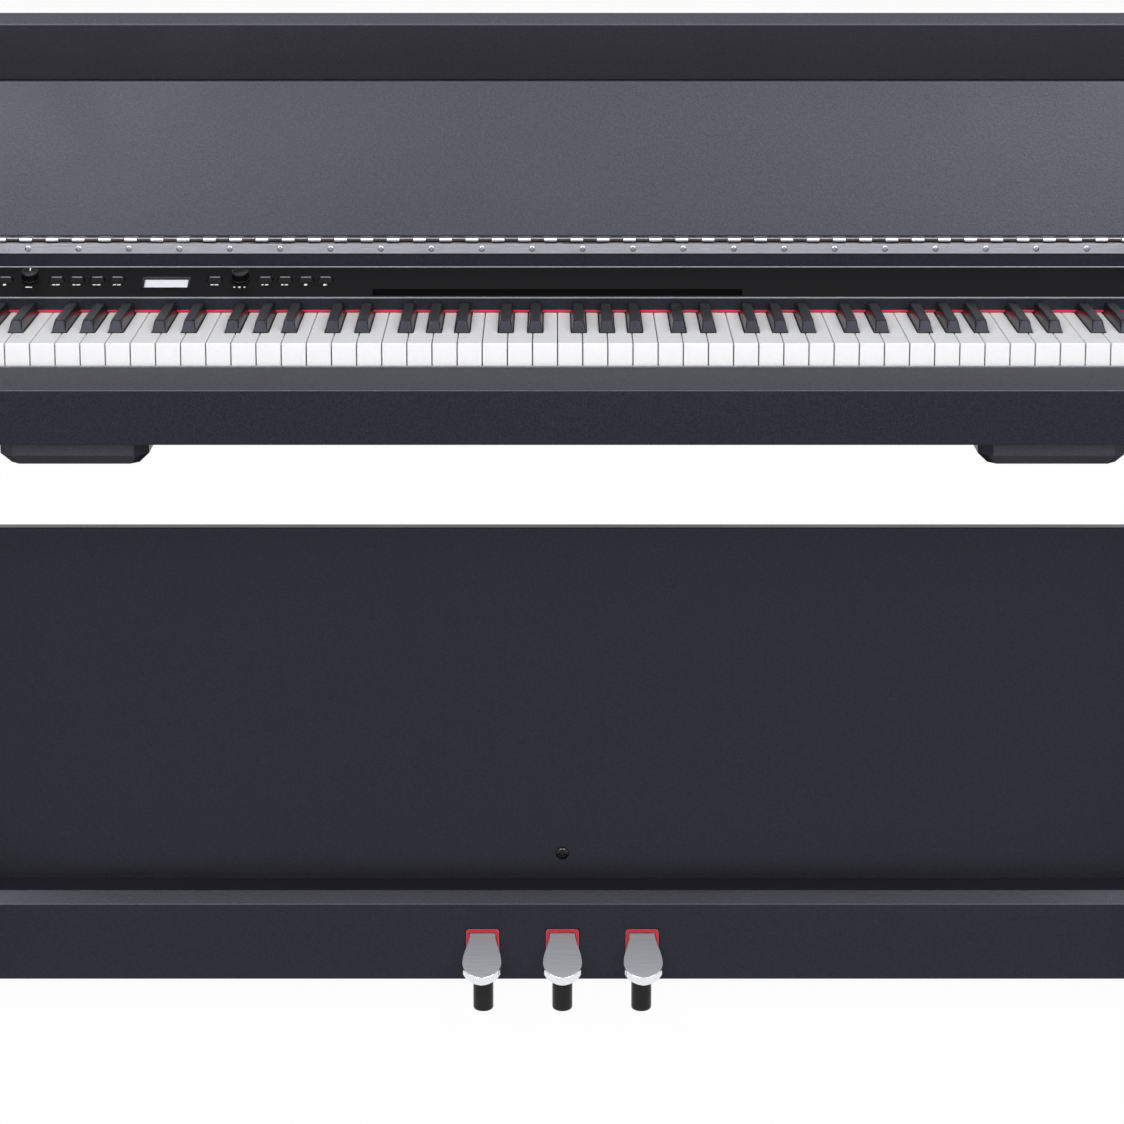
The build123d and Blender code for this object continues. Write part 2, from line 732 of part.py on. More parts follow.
def white_keys(notes):
    """Add the white keys of these notes to the open part."""
    with BuildSketch(Plane.XY.offset(KEY_BOTTOM)) as tops:
        for note in notes:
            head_x = octave_x(note) + WHITE_PITCH * (WHITE_SEMITONES.index(note % 12) + 0.5)
            with Locations((head_x, FRONT + (KEY_FRONT_U + HEAD_BACK_U) / 2)):
                Rectangle(WHITE_PITCH - 2 * KEY_GAP, HEAD_BACK_U - KEY_FRONT_U)
            left, right = shank_span(note)
            with Locations(((left + right) / 2, FRONT + (HEAD_BACK_U + KEY_BACK_U) / 2)):
                Rectangle(right - left, KEY_BACK_U - HEAD_BACK_U)
    extrude(tops.sketch, amount=KEY_TOP - KEY_BOTTOM)


def key_tails(notes, start_u):
    """Add the narrow tails from start_u to the back, bored for the pivot rod."""
    with BuildSketch(Plane.XY.offset(TAIL_BOTTOM)) as tails:
        for note in notes:
            with Locations((tail_x(note), FRONT + (start_u + TAIL_BACK_U) / 2)):
                Rectangle(TAIL_WIDTH, TAIL_BACK_U - start_u)
    extrude(tails.sketch, amount=TAIL_TOP - TAIL_BOTTOM)
    reach = WHITE_PITCH
    cross_rod(
        PIVOT_U,
        PIVOT_Z,
        tail_x(notes[0]) - reach,
        tail_x(notes[-1]) + reach,
        PIVOT_R + RUNNING_CLEARANCE,
        Mode.SUBTRACT,
    )


def black_keys(notes):
    """Add the black keys of these notes to the open part."""
    with BuildSketch(Plane.XZ.offset(-(FRONT + BLACK_BACK_U))) as sections:
        for note in notes:
            x = tail_x(note)
            with BuildLine():
                Polyline(
                    (x - BLACK_BASE / 2, TAIL_BOTTOM + 4.0),
                    (x - BLACK_BASE / 2, KEY_TOP),
                    (x - BLACK_TOP / 2, KEY_TOP + BLACK_RISE),
                    (x + BLACK_TOP / 2, KEY_TOP + BLACK_RISE),
                    (x + BLACK_BASE / 2, KEY_TOP),
                    (x + BLACK_BASE / 2, TAIL_BOTTOM + 4.0),
                    close=True,
                )
            make_face()
    extrude(sections.sketch, amount=BLACK_BACK_U - BLACK_FRONT_U)
    slope = [
        (BLACK_FRONT_U - 1.0, KEY_TOP),
        (BLACK_FRONT_U, KEY_TOP),
        (BLACK_FRONT_U + BLACK_SLOPE, KEY_TOP + BLACK_RISE),
        (BLACK_FRONT_U + BLACK_SLOPE, KEY_TOP + BLACK_RISE + 1.0),
        (BLACK_FRONT_U - 1.0, KEY_TOP + BLACK_RISE + 1.0),
    ]
    x0 = tail_x(notes[0]) - WHITE_PITCH
    x1 = tail_x(notes[-1]) + WHITE_PITCH
    rail(slope, x0, x1, Mode.SUBTRACT)


# The octave from middle C has a node for each key; the rest are four groups
for note in range(MIDDLE_C, MIDDLE_C + 12):
    with BuildPart() as key:
        if is_white(note):
            white_keys([note])
            key_tails([note], KEY_BACK_U - 1.0)
        else:
            black_keys([note])
            key_tails([note], BLACK_BACK_U - 1.0)
    save(key, f"key_{NOTE_NAMES[note % 12]}4")

RANGES = {
    "low": range(LOWEST_NOTE, MIDDLE_C),
    "high": range(MIDDLE_C + 12, HIGHEST_NOTE + 1),
}
for region, notes in RANGES.items():
    whites = [note for note in notes if is_white(note)]
    blacks = [note for note in notes if not is_white(note)]
    with BuildPart() as white_group:
        white_keys(whites)
        key_tails(whites, KEY_BACK_U - 1.0)
    save(white_group, f"white_keys_{region}")
    with BuildPart() as black_group:
        black_keys(blacks)
        key_tails(blacks, BLACK_BACK_U - 1.0)
    save(black_group, f"black_keys_{region}")

with BuildPart() as key_pivot_rod:
    cross_rod(PIVOT_U, PIVOT_Z, CHEEK_LEFT_X, CHEEK_RIGHT_X, PIVOT_R)
save(key_pivot_rod, "key_pivot_rod")

# A folded steel tray under the keys, with a bracket for the rod at each octave
TRAY_Z = BOTTOM_Z + 27.0
TRAY_WALL = 2.0
RAIL_TOP = KEY_BOTTOM - 14.0
BRACKET = 1.6
TRAY_FRONT_U = 42.0
TRAY_BACK_U = 268.0
LEG_US = (60.0, 210.0)
with BuildPart() as key_frame:
    tray = (CHEEK_LEFT_X, CHEEK_RIGHT_X)
    board(*tray, TRAY_FRONT_U, TRAY_BACK_U, TRAY_Z, TRAY_Z + TRAY_WALL)
    board(*tray, TRAY_FRONT_U, TRAY_FRONT_U + TRAY_WALL, TRAY_Z, RAIL_TOP)
    board(*tray, TRAY_FRONT_U, TRAY_FRONT_U + 22.0, RAIL_TOP - TRAY_WALL, RAIL_TOP)
    board(*tray, TRAY_BACK_U - TRAY_WALL, TRAY_BACK_U, TRAY_Z, PIVOT_Z)
    for octave in range(8):
        bracket_x = FIRST_C_X + OCTAVE * octave
        board(
            bracket_x - BRACKET / 2,
            bracket_x + BRACKET / 2,
            PIVOT_U - 8.0,
            TRAY_BACK_U,
            TRAY_Z,
            TAIL_TOP - 2.0,
        )
    cross_rod(PIVOT_U, PIVOT_Z, *tray, PIVOT_R, Mode.SUBTRACT)
    for u in LEG_US:
        for x in (-560.0, -300.0, -60.0, 180.0, 420.0, 560.0):
            board(x, x + 20.0, u, u + 20.0, BOTTOM_Z + BOTTOM_BOARD, TRAY_Z)
save(key_frame, "key_frame")

# ------------------------------------------------------- lid and hinge
LEAN = math.radians(LID_LEAN)
FLAP_TILT = math.radians(LID_BEND - LID_LEAN)
GROOVE = 1.4
LID_X0 = -LID_WIDTH / 2
LID_X1 = LID_WIDTH / 2


def on_lid(s, t):
    """Point of the main lid panel: s up from the hinge, t out from its inner face."""
    u = HINGE_U + s * math.sin(LEAN) + t * math.cos(LEAN)
    z = HINGE_Z + s * math.cos(LEAN) - t * math.sin(LEAN)
    return (u, z)


def on_flap(s, t):
    """Point of the flap: s up from the crease, t out from its inner face."""
    crease_u, crease_z = on_lid(LID_PANEL_LENGTH, 0.0)
    u = crease_u - s * math.sin(FLAP_TILT) + t * math.cos(FLAP_TILT)
    z = crease_z + s * math.cos(FLAP_TILT) + t * math.sin(FLAP_TILT)
    return (u, z)


# The two boards meet on the line that halves the bend, behind a small groove
MITRE = LID_THICKNESS * math.tan(math.radians(LID_BEND / 2))
with BuildPart() as lid_panel:
    outline = [
        on_lid(LID_START, 0.0),
        on_lid(LID_PANEL_LENGTH - GROOVE, 0.0),
        on_lid(LID_PANEL_LENGTH + MITRE * GROOVE / LID_THICKNESS, GROOVE),
        on_lid(LID_PANEL_LENGTH + MITRE, LID_THICKNESS),
        on_lid(LID_START, LID_THICKNESS),
    ]
    rail(outline, LID_X0, LID_X1)
save(lid_panel, "lid_panel")

EDGE_R = 2.0
with BuildPart() as lid_flap:
    outline = [
        on_flap(GROOVE, 0.0),
        on_flap(LID_FLAP_LENGTH, 0.0),
        on_flap(LID_FLAP_LENGTH, LID_THICKNESS),
        on_flap(-MITRE, LID_THICKNESS),
        on_flap(-MITRE * GROOVE / LID_THICKNESS, GROOVE),
    ]
    rail(outline, LID_X0, LID_X1)
    free_end = FRONT + on_flap(LID_FLAP_LENGTH, LID_THICKNESS)[0]
    end_edges = [
        edge
        for edge in lid_flap.edges().filter_by(Axis.X)
        if edge.center().Y < free_end + 1.0
    ]
    fillet(end_edges, EDGE_R)
save(lid_flap, "lid_flap")

# Piano hinge: knuckles alternate between the body's leaf and the lid's leaf
KNUCKLES = int((CHEEK_RIGHT_X - CHEEK_LEFT_X) // KNUCKLE_PITCH)
HINGE_X0 = KEYBOARD_X - KNUCKLES * KNUCKLE_PITCH / 2
HINGE_X1 = KEYBOARD_X + KNUCKLES * KNUCKLE_PITCH / 2
LEAF_TOP = HINGE_Z - 3.7
LEAF_BOTTOM = LEAF_TOP - 10.0
LEAF_REACH = 14.0
BARREL_CLEARANCE = 0.5


def knuckles(first_x):
    """Add one leaf's knuckles, bored for the pin, from first_x along the hinge."""
    for index in range(KNUCKLES):
        x = first_x + index * KNUCKLE_PITCH
        cross_rod(HINGE_U, HINGE_Z, x, x + KNUCKLE_LENGTH, KNUCKLE_R)


def bore_hinge():
    """Cut the pin's bore along the whole hinge."""
    cross_rod(
        HINGE_U,
        HINGE_Z,
        HINGE_X0,
        HINGE_X1,
        HINGE_PIN_R + RUNNING_CLEARANCE,
        Mode.SUBTRACT,
    )


with BuildPart() as body_hinge_leaf:
    board(HINGE_X0, HINGE_X1, HINGE_U, RISER_U, LEAF_BOTTOM, LEAF_TOP)
    for index in range(KNUCKLES):
        x = HINGE_X0 + index * KNUCKLE_PITCH
        board(x, x + KNUCKLE_LENGTH, HINGE_U, RISER_U, LEAF_TOP - 0.5, HINGE_Z)
    knuckles(HINGE_X0)
    bore_hinge()
save(body_hinge_leaf, "body_hinge_leaf")

with BuildPart() as lid_hinge_leaf:
    start = LID_START - LEAF
    strip = [
        on_lid(start, KNUCKLE_R + BARREL_CLEARANCE),
        on_lid(LID_START, KNUCKLE_R + BARREL_CLEARANCE),
        on_lid(LID_START, LEAF_REACH),
        on_lid(start, LEAF_REACH),
    ]
    rail(strip, HINGE_X0, HINGE_X1)
    for index in range(KNUCKLES):
        x = HINGE_X0 + (index + 0.5) * KNUCKLE_PITCH
        tab = [
            on_lid(start, 0.0),
            on_lid(KNUCKLE_R, 0.0),
            on_lid(LID_START, KNUCKLE_R + BARREL_CLEARANCE + 0.5),
            on_lid(start, KNUCKLE_R + BARREL_CLEARANCE + 0.5),
        ]
        rail(tab, x, x + KNUCKLE_LENGTH)
    knuckles(HINGE_X0 + KNUCKLE_PITCH / 2)
    bore_hinge()
save(lid_hinge_leaf, "lid_hinge_leaf")

with BuildPart() as hinge_pin:
    cross_rod(HINGE_U, HINGE_Z, HINGE_X0, HINGE_X1, HINGE_PIN_R)
save(hinge_pin, "hinge_pin")

# Felt: the strip behind the keys, the pads under the open lid and on the cheeks
FELT_STRIP = (183.8, 190.0, KEY_TOP + 0.5, PANEL_STRIP_Z)
LID_PAD_XS = (-620.0, -310.0, 0.0, 310.0, 580.0)
LID_PAD_LENGTH = 40.0
with BuildPart() as felt_strips:
    board(PANEL_X0, PANEL_X1, *FELT_STRIP)
    for x in LID_PAD_XS:
        board(x, x + LID_PAD_LENGTH, 246.0, 256.0, TOP_Z, TOP_Z + 3.8)
    for x in (-640.0, 630.0):
        board(x, x + 10.0, 120.0, 150.0, TOP_Z - 0.5, TOP_Z + 3.8)
save(felt_strips, "felt_strips")

# Cross-headed screws on the body leaf, and bolts through the stand
SCREW_HEAD_R = 3.0
SCREW_HEAD = 1.2
HINGE_SCREWS = 24
SCREW_Z = LEAF_TOP - 5.0
BOLT_HEAD_R = 6.8
BOLT_HEAD = 3.0
BOLT_Z = 164.0


def head_facing_front(x, z, u, radius, height, cross):
    """Add a domed head on a face that looks to the front, with a cross recess."""
    with BuildSketch(Plane.XZ.offset(-(FRONT + u))) as head:
        with Locations((x, z)):
            Circle(radius)
    extrude(head.sketch, amount=height)
    with BuildSketch(Plane.XZ.offset(-(FRONT + u - height))) as recess:
        with Locations((x, z)):
            Rectangle(radius * 1.3, cross)
            Rectangle(cross, radius * 1.3)
    extrude(recess.sketch, amount=-height / 2, mode=Mode.SUBTRACT)


with BuildPart() as screws:
    for index in range(HINGE_SCREWS):
        x = KEYBOARD_X + (index - (HINGE_SCREWS - 1) / 2) * HINGE_SCREW_PITCH
        head_facing_front(x, SCREW_Z, HINGE_U, SCREW_HEAD_R, SCREW_HEAD, 0.8)
    head_facing_front(0.0, BOLT_Z, REAR_BOARD_U, BOLT_HEAD_R, BOLT_HEAD, 1.6)
save(screws, "screws")
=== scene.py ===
"""Digital piano on a furniture stand: boards, keys, fittings, finishes, light and camera."""

import json
import logging
import math
from collections.abc import Callable
from dataclasses import dataclass, field
from enum import Enum

import bmesh
import bpy
import numpy as np
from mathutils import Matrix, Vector


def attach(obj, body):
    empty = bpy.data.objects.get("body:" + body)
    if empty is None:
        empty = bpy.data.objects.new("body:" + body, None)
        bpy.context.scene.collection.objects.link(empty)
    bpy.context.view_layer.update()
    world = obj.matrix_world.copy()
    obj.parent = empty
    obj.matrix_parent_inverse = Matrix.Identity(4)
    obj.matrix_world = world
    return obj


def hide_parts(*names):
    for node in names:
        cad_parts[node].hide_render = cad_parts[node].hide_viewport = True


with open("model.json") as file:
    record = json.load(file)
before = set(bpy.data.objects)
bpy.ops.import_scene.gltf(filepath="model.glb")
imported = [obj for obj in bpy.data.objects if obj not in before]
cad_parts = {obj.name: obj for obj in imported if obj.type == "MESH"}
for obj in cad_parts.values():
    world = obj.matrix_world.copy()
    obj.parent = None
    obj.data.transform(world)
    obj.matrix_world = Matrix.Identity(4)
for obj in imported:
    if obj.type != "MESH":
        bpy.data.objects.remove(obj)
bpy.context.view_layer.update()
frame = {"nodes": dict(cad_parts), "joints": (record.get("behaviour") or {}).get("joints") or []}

LOG = logging.getLogger("piano")
Array = np.ndarray
MM = 0.001
FRONT = -190.0
"""Y of the console's front face; u is measured back from it, in millimetres."""


# ------------------------------------------------------------------ geometry


@dataclass(frozen=True)
class Axes:
    """A right-handed set of axes, in millimetres, that local points are placed on."""

    origin: tuple[float, float, float]
    right: tuple[float, float, float]
    up: tuple[float, float, float]
    out: tuple[float, float, float]

    def place(self, local: Array) -> Array:
        """Turn local points into row-frame points.

        Args:
            local: points as (right, up, out) in the last axis.

        Returns:
            The origin plus each coordinate times its axis.
        """
        basis = np.array([self.right, self.up, self.out])
        return np.asarray(self.origin) + np.asarray(local, float) @ basis


SIDEWAYS = Axes((0, FRONT, 0), (0, 1, 0), (0, 0, 1), (1, 0, 0))
"""Local (u, z, x): outlines seen from the player's right."""
PLAN = Axes((0, FRONT, 0), (1, 0, 0), (0, 1, 0), (0, 0, 1))
"""Local (x, u, z): outlines seen from above."""


def facing(u: float) -> Axes:
    """Axes on a vertical face that looks to the player: local (x, z, towards the player)."""
    return Axes((0, FRONT + u, 0), (1, 0, 0), (0, 0, 1), (0, -1, 0))


@dataclass
class Shape:
    """Points, four-sided faces and many-sided caps of one closed surface."""

    points: Array
    quads: Array
    caps: list[list[int]] = field(default_factory=list)


def grid_quads(rows: int, columns: int) -> Array:
    """Faces between rings of points, each ring closed on itself.

    Args:
        rows: number of rings.
        columns: points on a ring.

    Returns:
        Indices of each face, turned so that it looks outwards on a right-handed loft.
    """
    ring, step = np.meshgrid(np.arange(rows - 1), np.arange(columns), indexing="ij")
    following = (step + 1) % columns
    corners = [
        ring * columns + step,
        ring * columns + following,
        (ring + 1) * columns + following,
        (ring + 1) * columns + step,
    ]
    return np.stack([corner.ravel() for corner in corners], axis=1)


def loft(rings: Array) -> Shape:
    """Skin a stack of rings and cap both ends.

    Args:
        rings: array of (ring, point, 3).

    Returns:
        The closed shape.
    """
    rows, columns = rings.shape[:2]
    low = list(range(columns))[::-1]
    high = list(range((rows - 1) * columns, rows * columns))
    return Shape(rings.reshape(-1, 3), grid_quads(rows, columns), [low, high])


def joined(shapes: list[Shape]) -> Shape:
    """Put several shapes into one, each still closed on its own.

    Args:
        shapes: the shapes to join.

    Returns:
        One shape, with every index raised by the number of points before it.
    """
    points, quads, caps = [], [], []
    start = 0
    for shape in shapes:
        points.append(shape.points)
        quads.append(shape.quads + start)
        caps += [[index + start for index in cap] for cap in shape.caps]
        start += len(shape.points)
    return Shape(np.concatenate(points), np.concatenate(quads), caps)


def circle(radius: float, sides: int) -> Array:
    """Points round a circle, anticlockwise from the first axis."""
    angle = np.linspace(0.0, 2 * math.pi, sides, endpoint=False)
    return radius * np.column_stack([np.cos(angle), np.sin(angle)])


def ring_at(section: Array, depth: float) -> Array:
    """Points of a section (a, b) as (a, depth, b)."""
    return np.insert(section, 1, depth, axis=1)


def unit(vectors: Array) -> Array:
    """Scale vectors in the last axis to length one."""
    return vectors / np.linalg.norm(vectors, axis=-1, keepdims=True)


def inset(outline: Array, distance: float) -> Array:
    """Move every side of an anticlockwise outline inwards; corners slide on their mitres.

    Args:
        outline: corner points (n, 2).
        distance: how far each side moves, in millimetres.

    Returns:
        The moved corners: p + d (n0 + n1) / (1 + n0 . n1), with n the inward normals.
    """
    before = unit(outline - np.roll(outline, 1, axis=0))
    after = unit(np.roll(outline, -1, axis=0) - outline)
    n0 = np.stack([-before[:, 1], before[:, 0]], axis=1)
    n1 = np.stack([-after[:, 1], after[:, 0]], axis=1)
    mitre = (n0 + n1) / (1.0 + (n0 * n1).sum(axis=1, keepdims=True))
    return outline + distance * mitre


def rounded(outline: list[tuple[float, float]], radius: float, steps: int = 3) -> Array:
    """Round every corner of an outline.

    Args:
        outline: corner points.
        radius: radius of the arcs, cut down where a side is short.
        steps: segments in each arc.

    Returns:
        Points on the arcs: a quadratic curve from side to side through each corner.
    """
    corners = np.array(outline, float)
    to_last = np.roll(corners, 1, axis=0) - corners
    to_next = np.roll(corners, -1, axis=0) - corners
    shortest = np.minimum(np.linalg.norm(to_last, axis=1), np.linalg.norm(to_next, axis=1))
    reach = np.minimum(radius, 0.45 * shortest)[:, None]
    start = corners + unit(to_last) * reach
    end = corners + unit(to_next) * reach
    t = np.linspace(0.0, 1.0, steps + 1)[None, :, None]
    arcs = (1 - t) ** 2 * start[:, None] + 2 * t * (1 - t) * corners[:, None] + t**2 * end[:, None]
    return arcs.reshape(-1, 2)


def prism(
    outline: Array, low: float, high: float, axes: Axes, rim: float = 1.0, steps: int = 3
) -> Shape:
    """Carry an outline along the third axis and round both rims.

    Args:
        outline: anticlockwise points (n, 2).
        low: where the prism starts on the third axis.
        high: where it ends.
        axes: the axes the outline lies on.
        rim: radius of the rounding at both ends.
        steps: rings in each rounding.

    Returns:
        Rings at inset r (1 - sin t) and height r (1 - cos t), with t from 0 to 90 degrees.
    """
    turn = np.linspace(0.0, math.pi / 2, steps + 1)
    insets = rim * (1 - np.sin(turn))
    heights = rim * (1 - np.cos(turn))
    levels = np.concatenate([low + heights, (high - heights)[::-1]])
    depths = np.concatenate([insets, insets[::-1]])
    rings = [np.insert(inset(outline, d), 2, level, axis=1) for d, level in zip(depths, levels)]
    return loft(axes.place(np.array(rings)))


def block(
    x: tuple[float, float],
    y: tuple[float, float],
    z: tuple[float, float],
    axes: Axes,
    rim: float = 1.0,
    corner: float = 1.6,
) -> Shape:
    """Make a box with rounded corners and rims.

    Args:
        x: its limits on the first axis.
        y: its limits on the second axis.
        z: its limits on the third axis.
        axes: the axes it lies on.
        rim: radius of the rounding at both ends of the third axis.
        corner: radius of the four corners seen along that axis.

    Returns:
        A prism on the rounded rectangle.
    """
    outline = [(x[0], y[0]), (x[1], y[0]), (x[1], y[1]), (x[0], y[1])]
    return prism(rounded(outline, corner), z[0], z[1], axes, rim)


def bead(
    u: float,
    z: float,
    reach: tuple[float, float, float, float],
    ends: tuple[float, float],
    corner: float,
) -> Shape:
    """Run a thin bead along an edge.

    Args:
        u: where the edge is, behind the console's front.
        z: its height.
        reach: how far the bead goes forwards, backwards, down and up from the edge.
        ends: where it starts and stops along x.
        corner: rounding of its section.

    Returns:
        A prism along x.
    """
    fore, aft, below, above = reach
    return block((u - fore, u + aft), (z - below, z + above), ends, SIDEWAYS, 0.2, corner)


def lathe(profile: list[tuple[float, float]], axes: Axes, sides: int = 48) -> Shape:
    """Turn a profile of (radius, height) round the third axis.

    Args:
        profile: points from the bottom to the top, none of them on the axis.
        axes: axes whose origin is the centre of the turned shape.
        sides: points on each ring.

    Returns:
        Rings (r cos a, r sin a, h), capped at both ends.
    """
    rings = [np.insert(circle(radius, sides), 2, height, axis=1) for radius, height in profile]
    return loft(axes.place(np.array(rings)))


def moved(axes: Axes, right: float, up: float, out: float = 0.0) -> Axes:
    """The same axes with their origin moved along themselves."""
    origin = tuple(axes.place(np.array([right, up, out])))
    return Axes(origin, axes.right, axes.up, axes.out)


SHARP = math.radians(38.0)
"""Edges that turn by more than this are drawn sharp."""


def add_object(name: str, data: bpy.types.ID) -> bpy.types.Object:
    """Put a mesh, lamp or camera into the scene.

    Args:
        name: name of the object.
        data: its mesh, lamp or camera.

    Returns:
        The new object.
    """
    made = bpy.data.objects.new(name, data)
    bpy.context.scene.collection.objects.link(made)
    return made


def even_normals(piece: bpy.types.Object) -> None:
    """Let broad faces decide how the narrow ones at their edges are shaded."""
    even = piece.modifiers.new("even_normals", "WEIGHTED_NORMAL")
    even.keep_sharp = True


def make_piece(
    name: str,
    shape: Shape,
    body: str,
    material: bpy.types.Material,
    replaces: tuple[str, ...] = (),
) -> bpy.types.Object:
    """Turn a shape into a finished piece that rides on a body.

    Args:
        name: name of the piece.
        shape: its surface, in millimetres.
        body: the CAD body it moves with.
        material: its finish.
        replaces: CAD nodes that it stands for.

    Returns:
        The new object, at the origin, with its place in its mesh.
    """
    mesh = bpy.data.meshes.new(name)
    faces = shape.quads.tolist() + shape.caps
    mesh.from_pydata((shape.points * MM).tolist(), [], faces)
    mesh.validate()
    mesh.shade_smooth()
    mesh.set_sharp_from_angle(angle=SHARP)
    mesh.materials.append(material)
    piece = add_object(name, mesh)
    even_normals(piece)
    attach(piece, body)
    if replaces:
        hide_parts(*replaces)
    LOG.info("%s: %d faces", name, len(faces))
    return piece


def stand_in(
    node_name: str, shape: Shape, body: str, material: bpy.types.Material
) -> bpy.types.Object:
    """Make the finished piece that stands for one CAD node and is named after it."""
    return make_piece(f"{node_name}_finished", shape, body, material, (node_name,))


def refinish(
    piece: bpy.types.Object,
    material: bpy.types.Material,
    pick: Callable[[Array, Array], Array],
) -> None:
    """Give some faces of a piece a second finish.

    Args:
        piece: the piece, with one finish so far.
        material: the second finish.
        pick: takes face normals and face centres in millimetres, and says which faces change.
    """
    faces = piece.data.polygons
    normals, centres = np.empty(len(faces) * 3), np.empty(len(faces) * 3)
    faces.foreach_get("normal", normals)
    faces.foreach_get("center", centres)
    chosen = pick(normals.reshape(-1, 3), centres.reshape(-1, 3) / MM)
    piece.data.materials.append(material)
    faces.foreach_set("material_index", chosen.astype(np.int32))


# ------------------------------------------------------------------ finishes


def linear(hex_colour: str) -> tuple[float, float, float, float]:
    """Turn an sRGB colour into a linear one.

    Args:
        hex_colour: the colour, such as "#4b4b50".

    Returns:
        Red, green, blue and alpha: c / 12.92 for dark channels, ((c + 0.055) / 1.055)^2.4
        for the others.
    """
    channels = [int(hex_colour[i : i + 2], 16) / 255 for i in (1, 3, 5)]
    curved = [c / 12.92 if c <= 0.04045 else ((c + 0.055) / 1.055) ** 2.4 for c in channels]
    return (*curved, 1.0)


def blank_tree(owner: bpy.types.Material | bpy.types.World) -> bpy.types.NodeTree:
    """Switch nodes on and start from nothing.

    Args:
        owner: a material or a world.

    Returns:
        Its emptied node tree.
    """
    owner.use_nodes = True
    owner.node_tree.nodes.clear()
    return owner.node_tree


def add_node(
    tree: bpy.types.NodeTree,
    kind: str,
    inputs: dict[str | int, object] | None = None,
    **settings: object,
) -> bpy.types.Node:
    """Add a shader node.

    Args:
        tree: the material's node tree.
        kind: the node's type name.
        inputs: socket name or number to a value or to another node's output.
        settings: properties of the node itself.

    Returns:
        The new node.
    """
    made = tree.nodes.new(kind)
    for key, value in settings.items():
        setattr(made, key, value)
    for key, value in (inputs or {}).items():
        if isinstance(value, bpy.types.NodeSocket):
            tree.links.new(value, made.inputs[key])
        else:
            made.inputs[key].default_value = value
    return made


def math_node(
    tree: bpy.types.NodeTree, operation: str, first: object, second: object
) -> bpy.types.NodeSocket:
    """Output of a Math node on two numbers or sockets."""
    node = add_node(tree, "ShaderNodeMath", {0: first, 1: second}, operation=operation)
    return node.outputs[0]


class Pattern(Enum):
    """How a surface's fine relief was made."""

    PEBBLED = "pebbled foil or mould texture"
    BRUSHED = "drawn lines along X"
    FIBRED = "felted fibres"
    PLAIN = "smooth"


@dataclass(frozen=True)
class Finish:
    """One surface finish, from its colours to its relief.

    Attributes:
        name: the finish in a maker's words.
        dark: hex colour in the pattern's hollows.
        light: hex colour on its tops.
        roughness: microfacet roughness.
        pattern: the kind of relief.
        grain_mm: size of one grain, thread or line.
        depth_mm: height of the relief.
        metallic: 1 for bare metal.
        specular: strength of the plain reflection, 0.5 for a clean plastic.
        tint: colour of the plain reflection.
        coat: weight of a clear layer on top.
        sheen: weight of the fuzz on cloth.
        glow: strength of the light that it gives off itself.
        mottle: how far broad patches change the roughness.
    """

    name: str
    dark: str
    light: str
    roughness: float
    pattern: Pattern = Pattern.PLAIN
    grain_mm: float = 1.0
    depth_mm: float = 0.0
    metallic: float = 0.0
    specular: float = 0.5
    tint: str = "#ffffff"
    coat: float = 0.0
    sheen: float = 0.0
    glow: float = 0.0
    mottle: float = 0.04

    def pattern_output(self, tree: bpy.types.NodeTree) -> bpy.types.NodeSocket:
        """Make the pattern that colour and relief share.

        Args:
            tree: the material's node tree.

        Returns:
            Noise in Object coordinates whose period is grain_mm, stretched along X if brushed.
        """
        place = add_node(tree, "ShaderNodeTexCoord").outputs["Object"]
        per_metre = 1000.0 / self.grain_mm
        stretch = 0.02 if self.pattern is Pattern.BRUSHED else 1.0
        sized = add_node(
            tree,
            "ShaderNodeMapping",
            {"Vector": place, "Scale": (per_metre * stretch, per_metre, per_metre)},
        )
        detail = 4.0 if self.pattern is Pattern.FIBRED else 2.0
        noise = add_node(
            tree,
            "ShaderNodeTexNoise",
            {"Vector": sized.outputs["Vector"], "Scale": 1.0, "Detail": detail},
        )
        return noise.outputs["Fac"]

    def material(self) -> bpy.types.Material:
        """Build the node material.

        Returns:
            A Principled material whose colour, roughness and bump follow one pattern.
        """
        made = bpy.data.materials.new(self.name)
        tree = blank_tree(made)
        relief = self.pattern_output(tree)
        colour = add_node(tree, "ShaderNodeValToRGB", {"Fac": relief})
        stops = ((0.35, self.dark), (0.65, self.light))
        for element, (position, shade) in zip(colour.color_ramp.elements, stops):
            element.position = position
            element.color = linear(shade)
        place = add_node(tree, "ShaderNodeTexCoord").outputs["Object"]
        broad = add_node(tree, "ShaderNodeTexNoise", {"Vector": place, "Scale": 9.0, "Detail": 3.0})
        gloss = add_node(
            tree,
            "ShaderNodeMapRange",
            {
                "Value": broad.outputs["Fac"],
                "From Min": 0.3,
                "From Max": 0.7,
                "To Min": max(self.roughness - self.mottle, 0.02),
                "To Max": min(self.roughness + self.mottle, 1.0),
            },
        )
        inputs = {
            "Base Color": colour.outputs["Color"],
            "Roughness": gloss.outputs["Result"],
            "Metallic": self.metallic,
            "Coat Weight": self.coat,
            "Coat Roughness": 0.12,
            "Sheen Weight": self.sheen,
        }
        if self.metallic < 0.5:
            inputs["Specular IOR Level"] = self.specular
            inputs["Specular Tint"] = linear(self.tint)
        if self.glow:
            inputs["Emission Color"] = linear(self.light)
            inputs["Emission Strength"] = self.glow
        if self.depth_mm:
            bump = add_node(
                tree,
                "ShaderNodeBump",
                {"Height": relief, "Strength": 1.0, "Distance": self.depth_mm * MM},
            )
            inputs["Normal"] = bump.outputs["Normal"]
        shader = add_node(tree, "ShaderNodeBsdfPrincipled", inputs)
        add_node(tree, "ShaderNodeOutputMaterial", {"Surface": shader.outputs["BSDF"]})
        return made


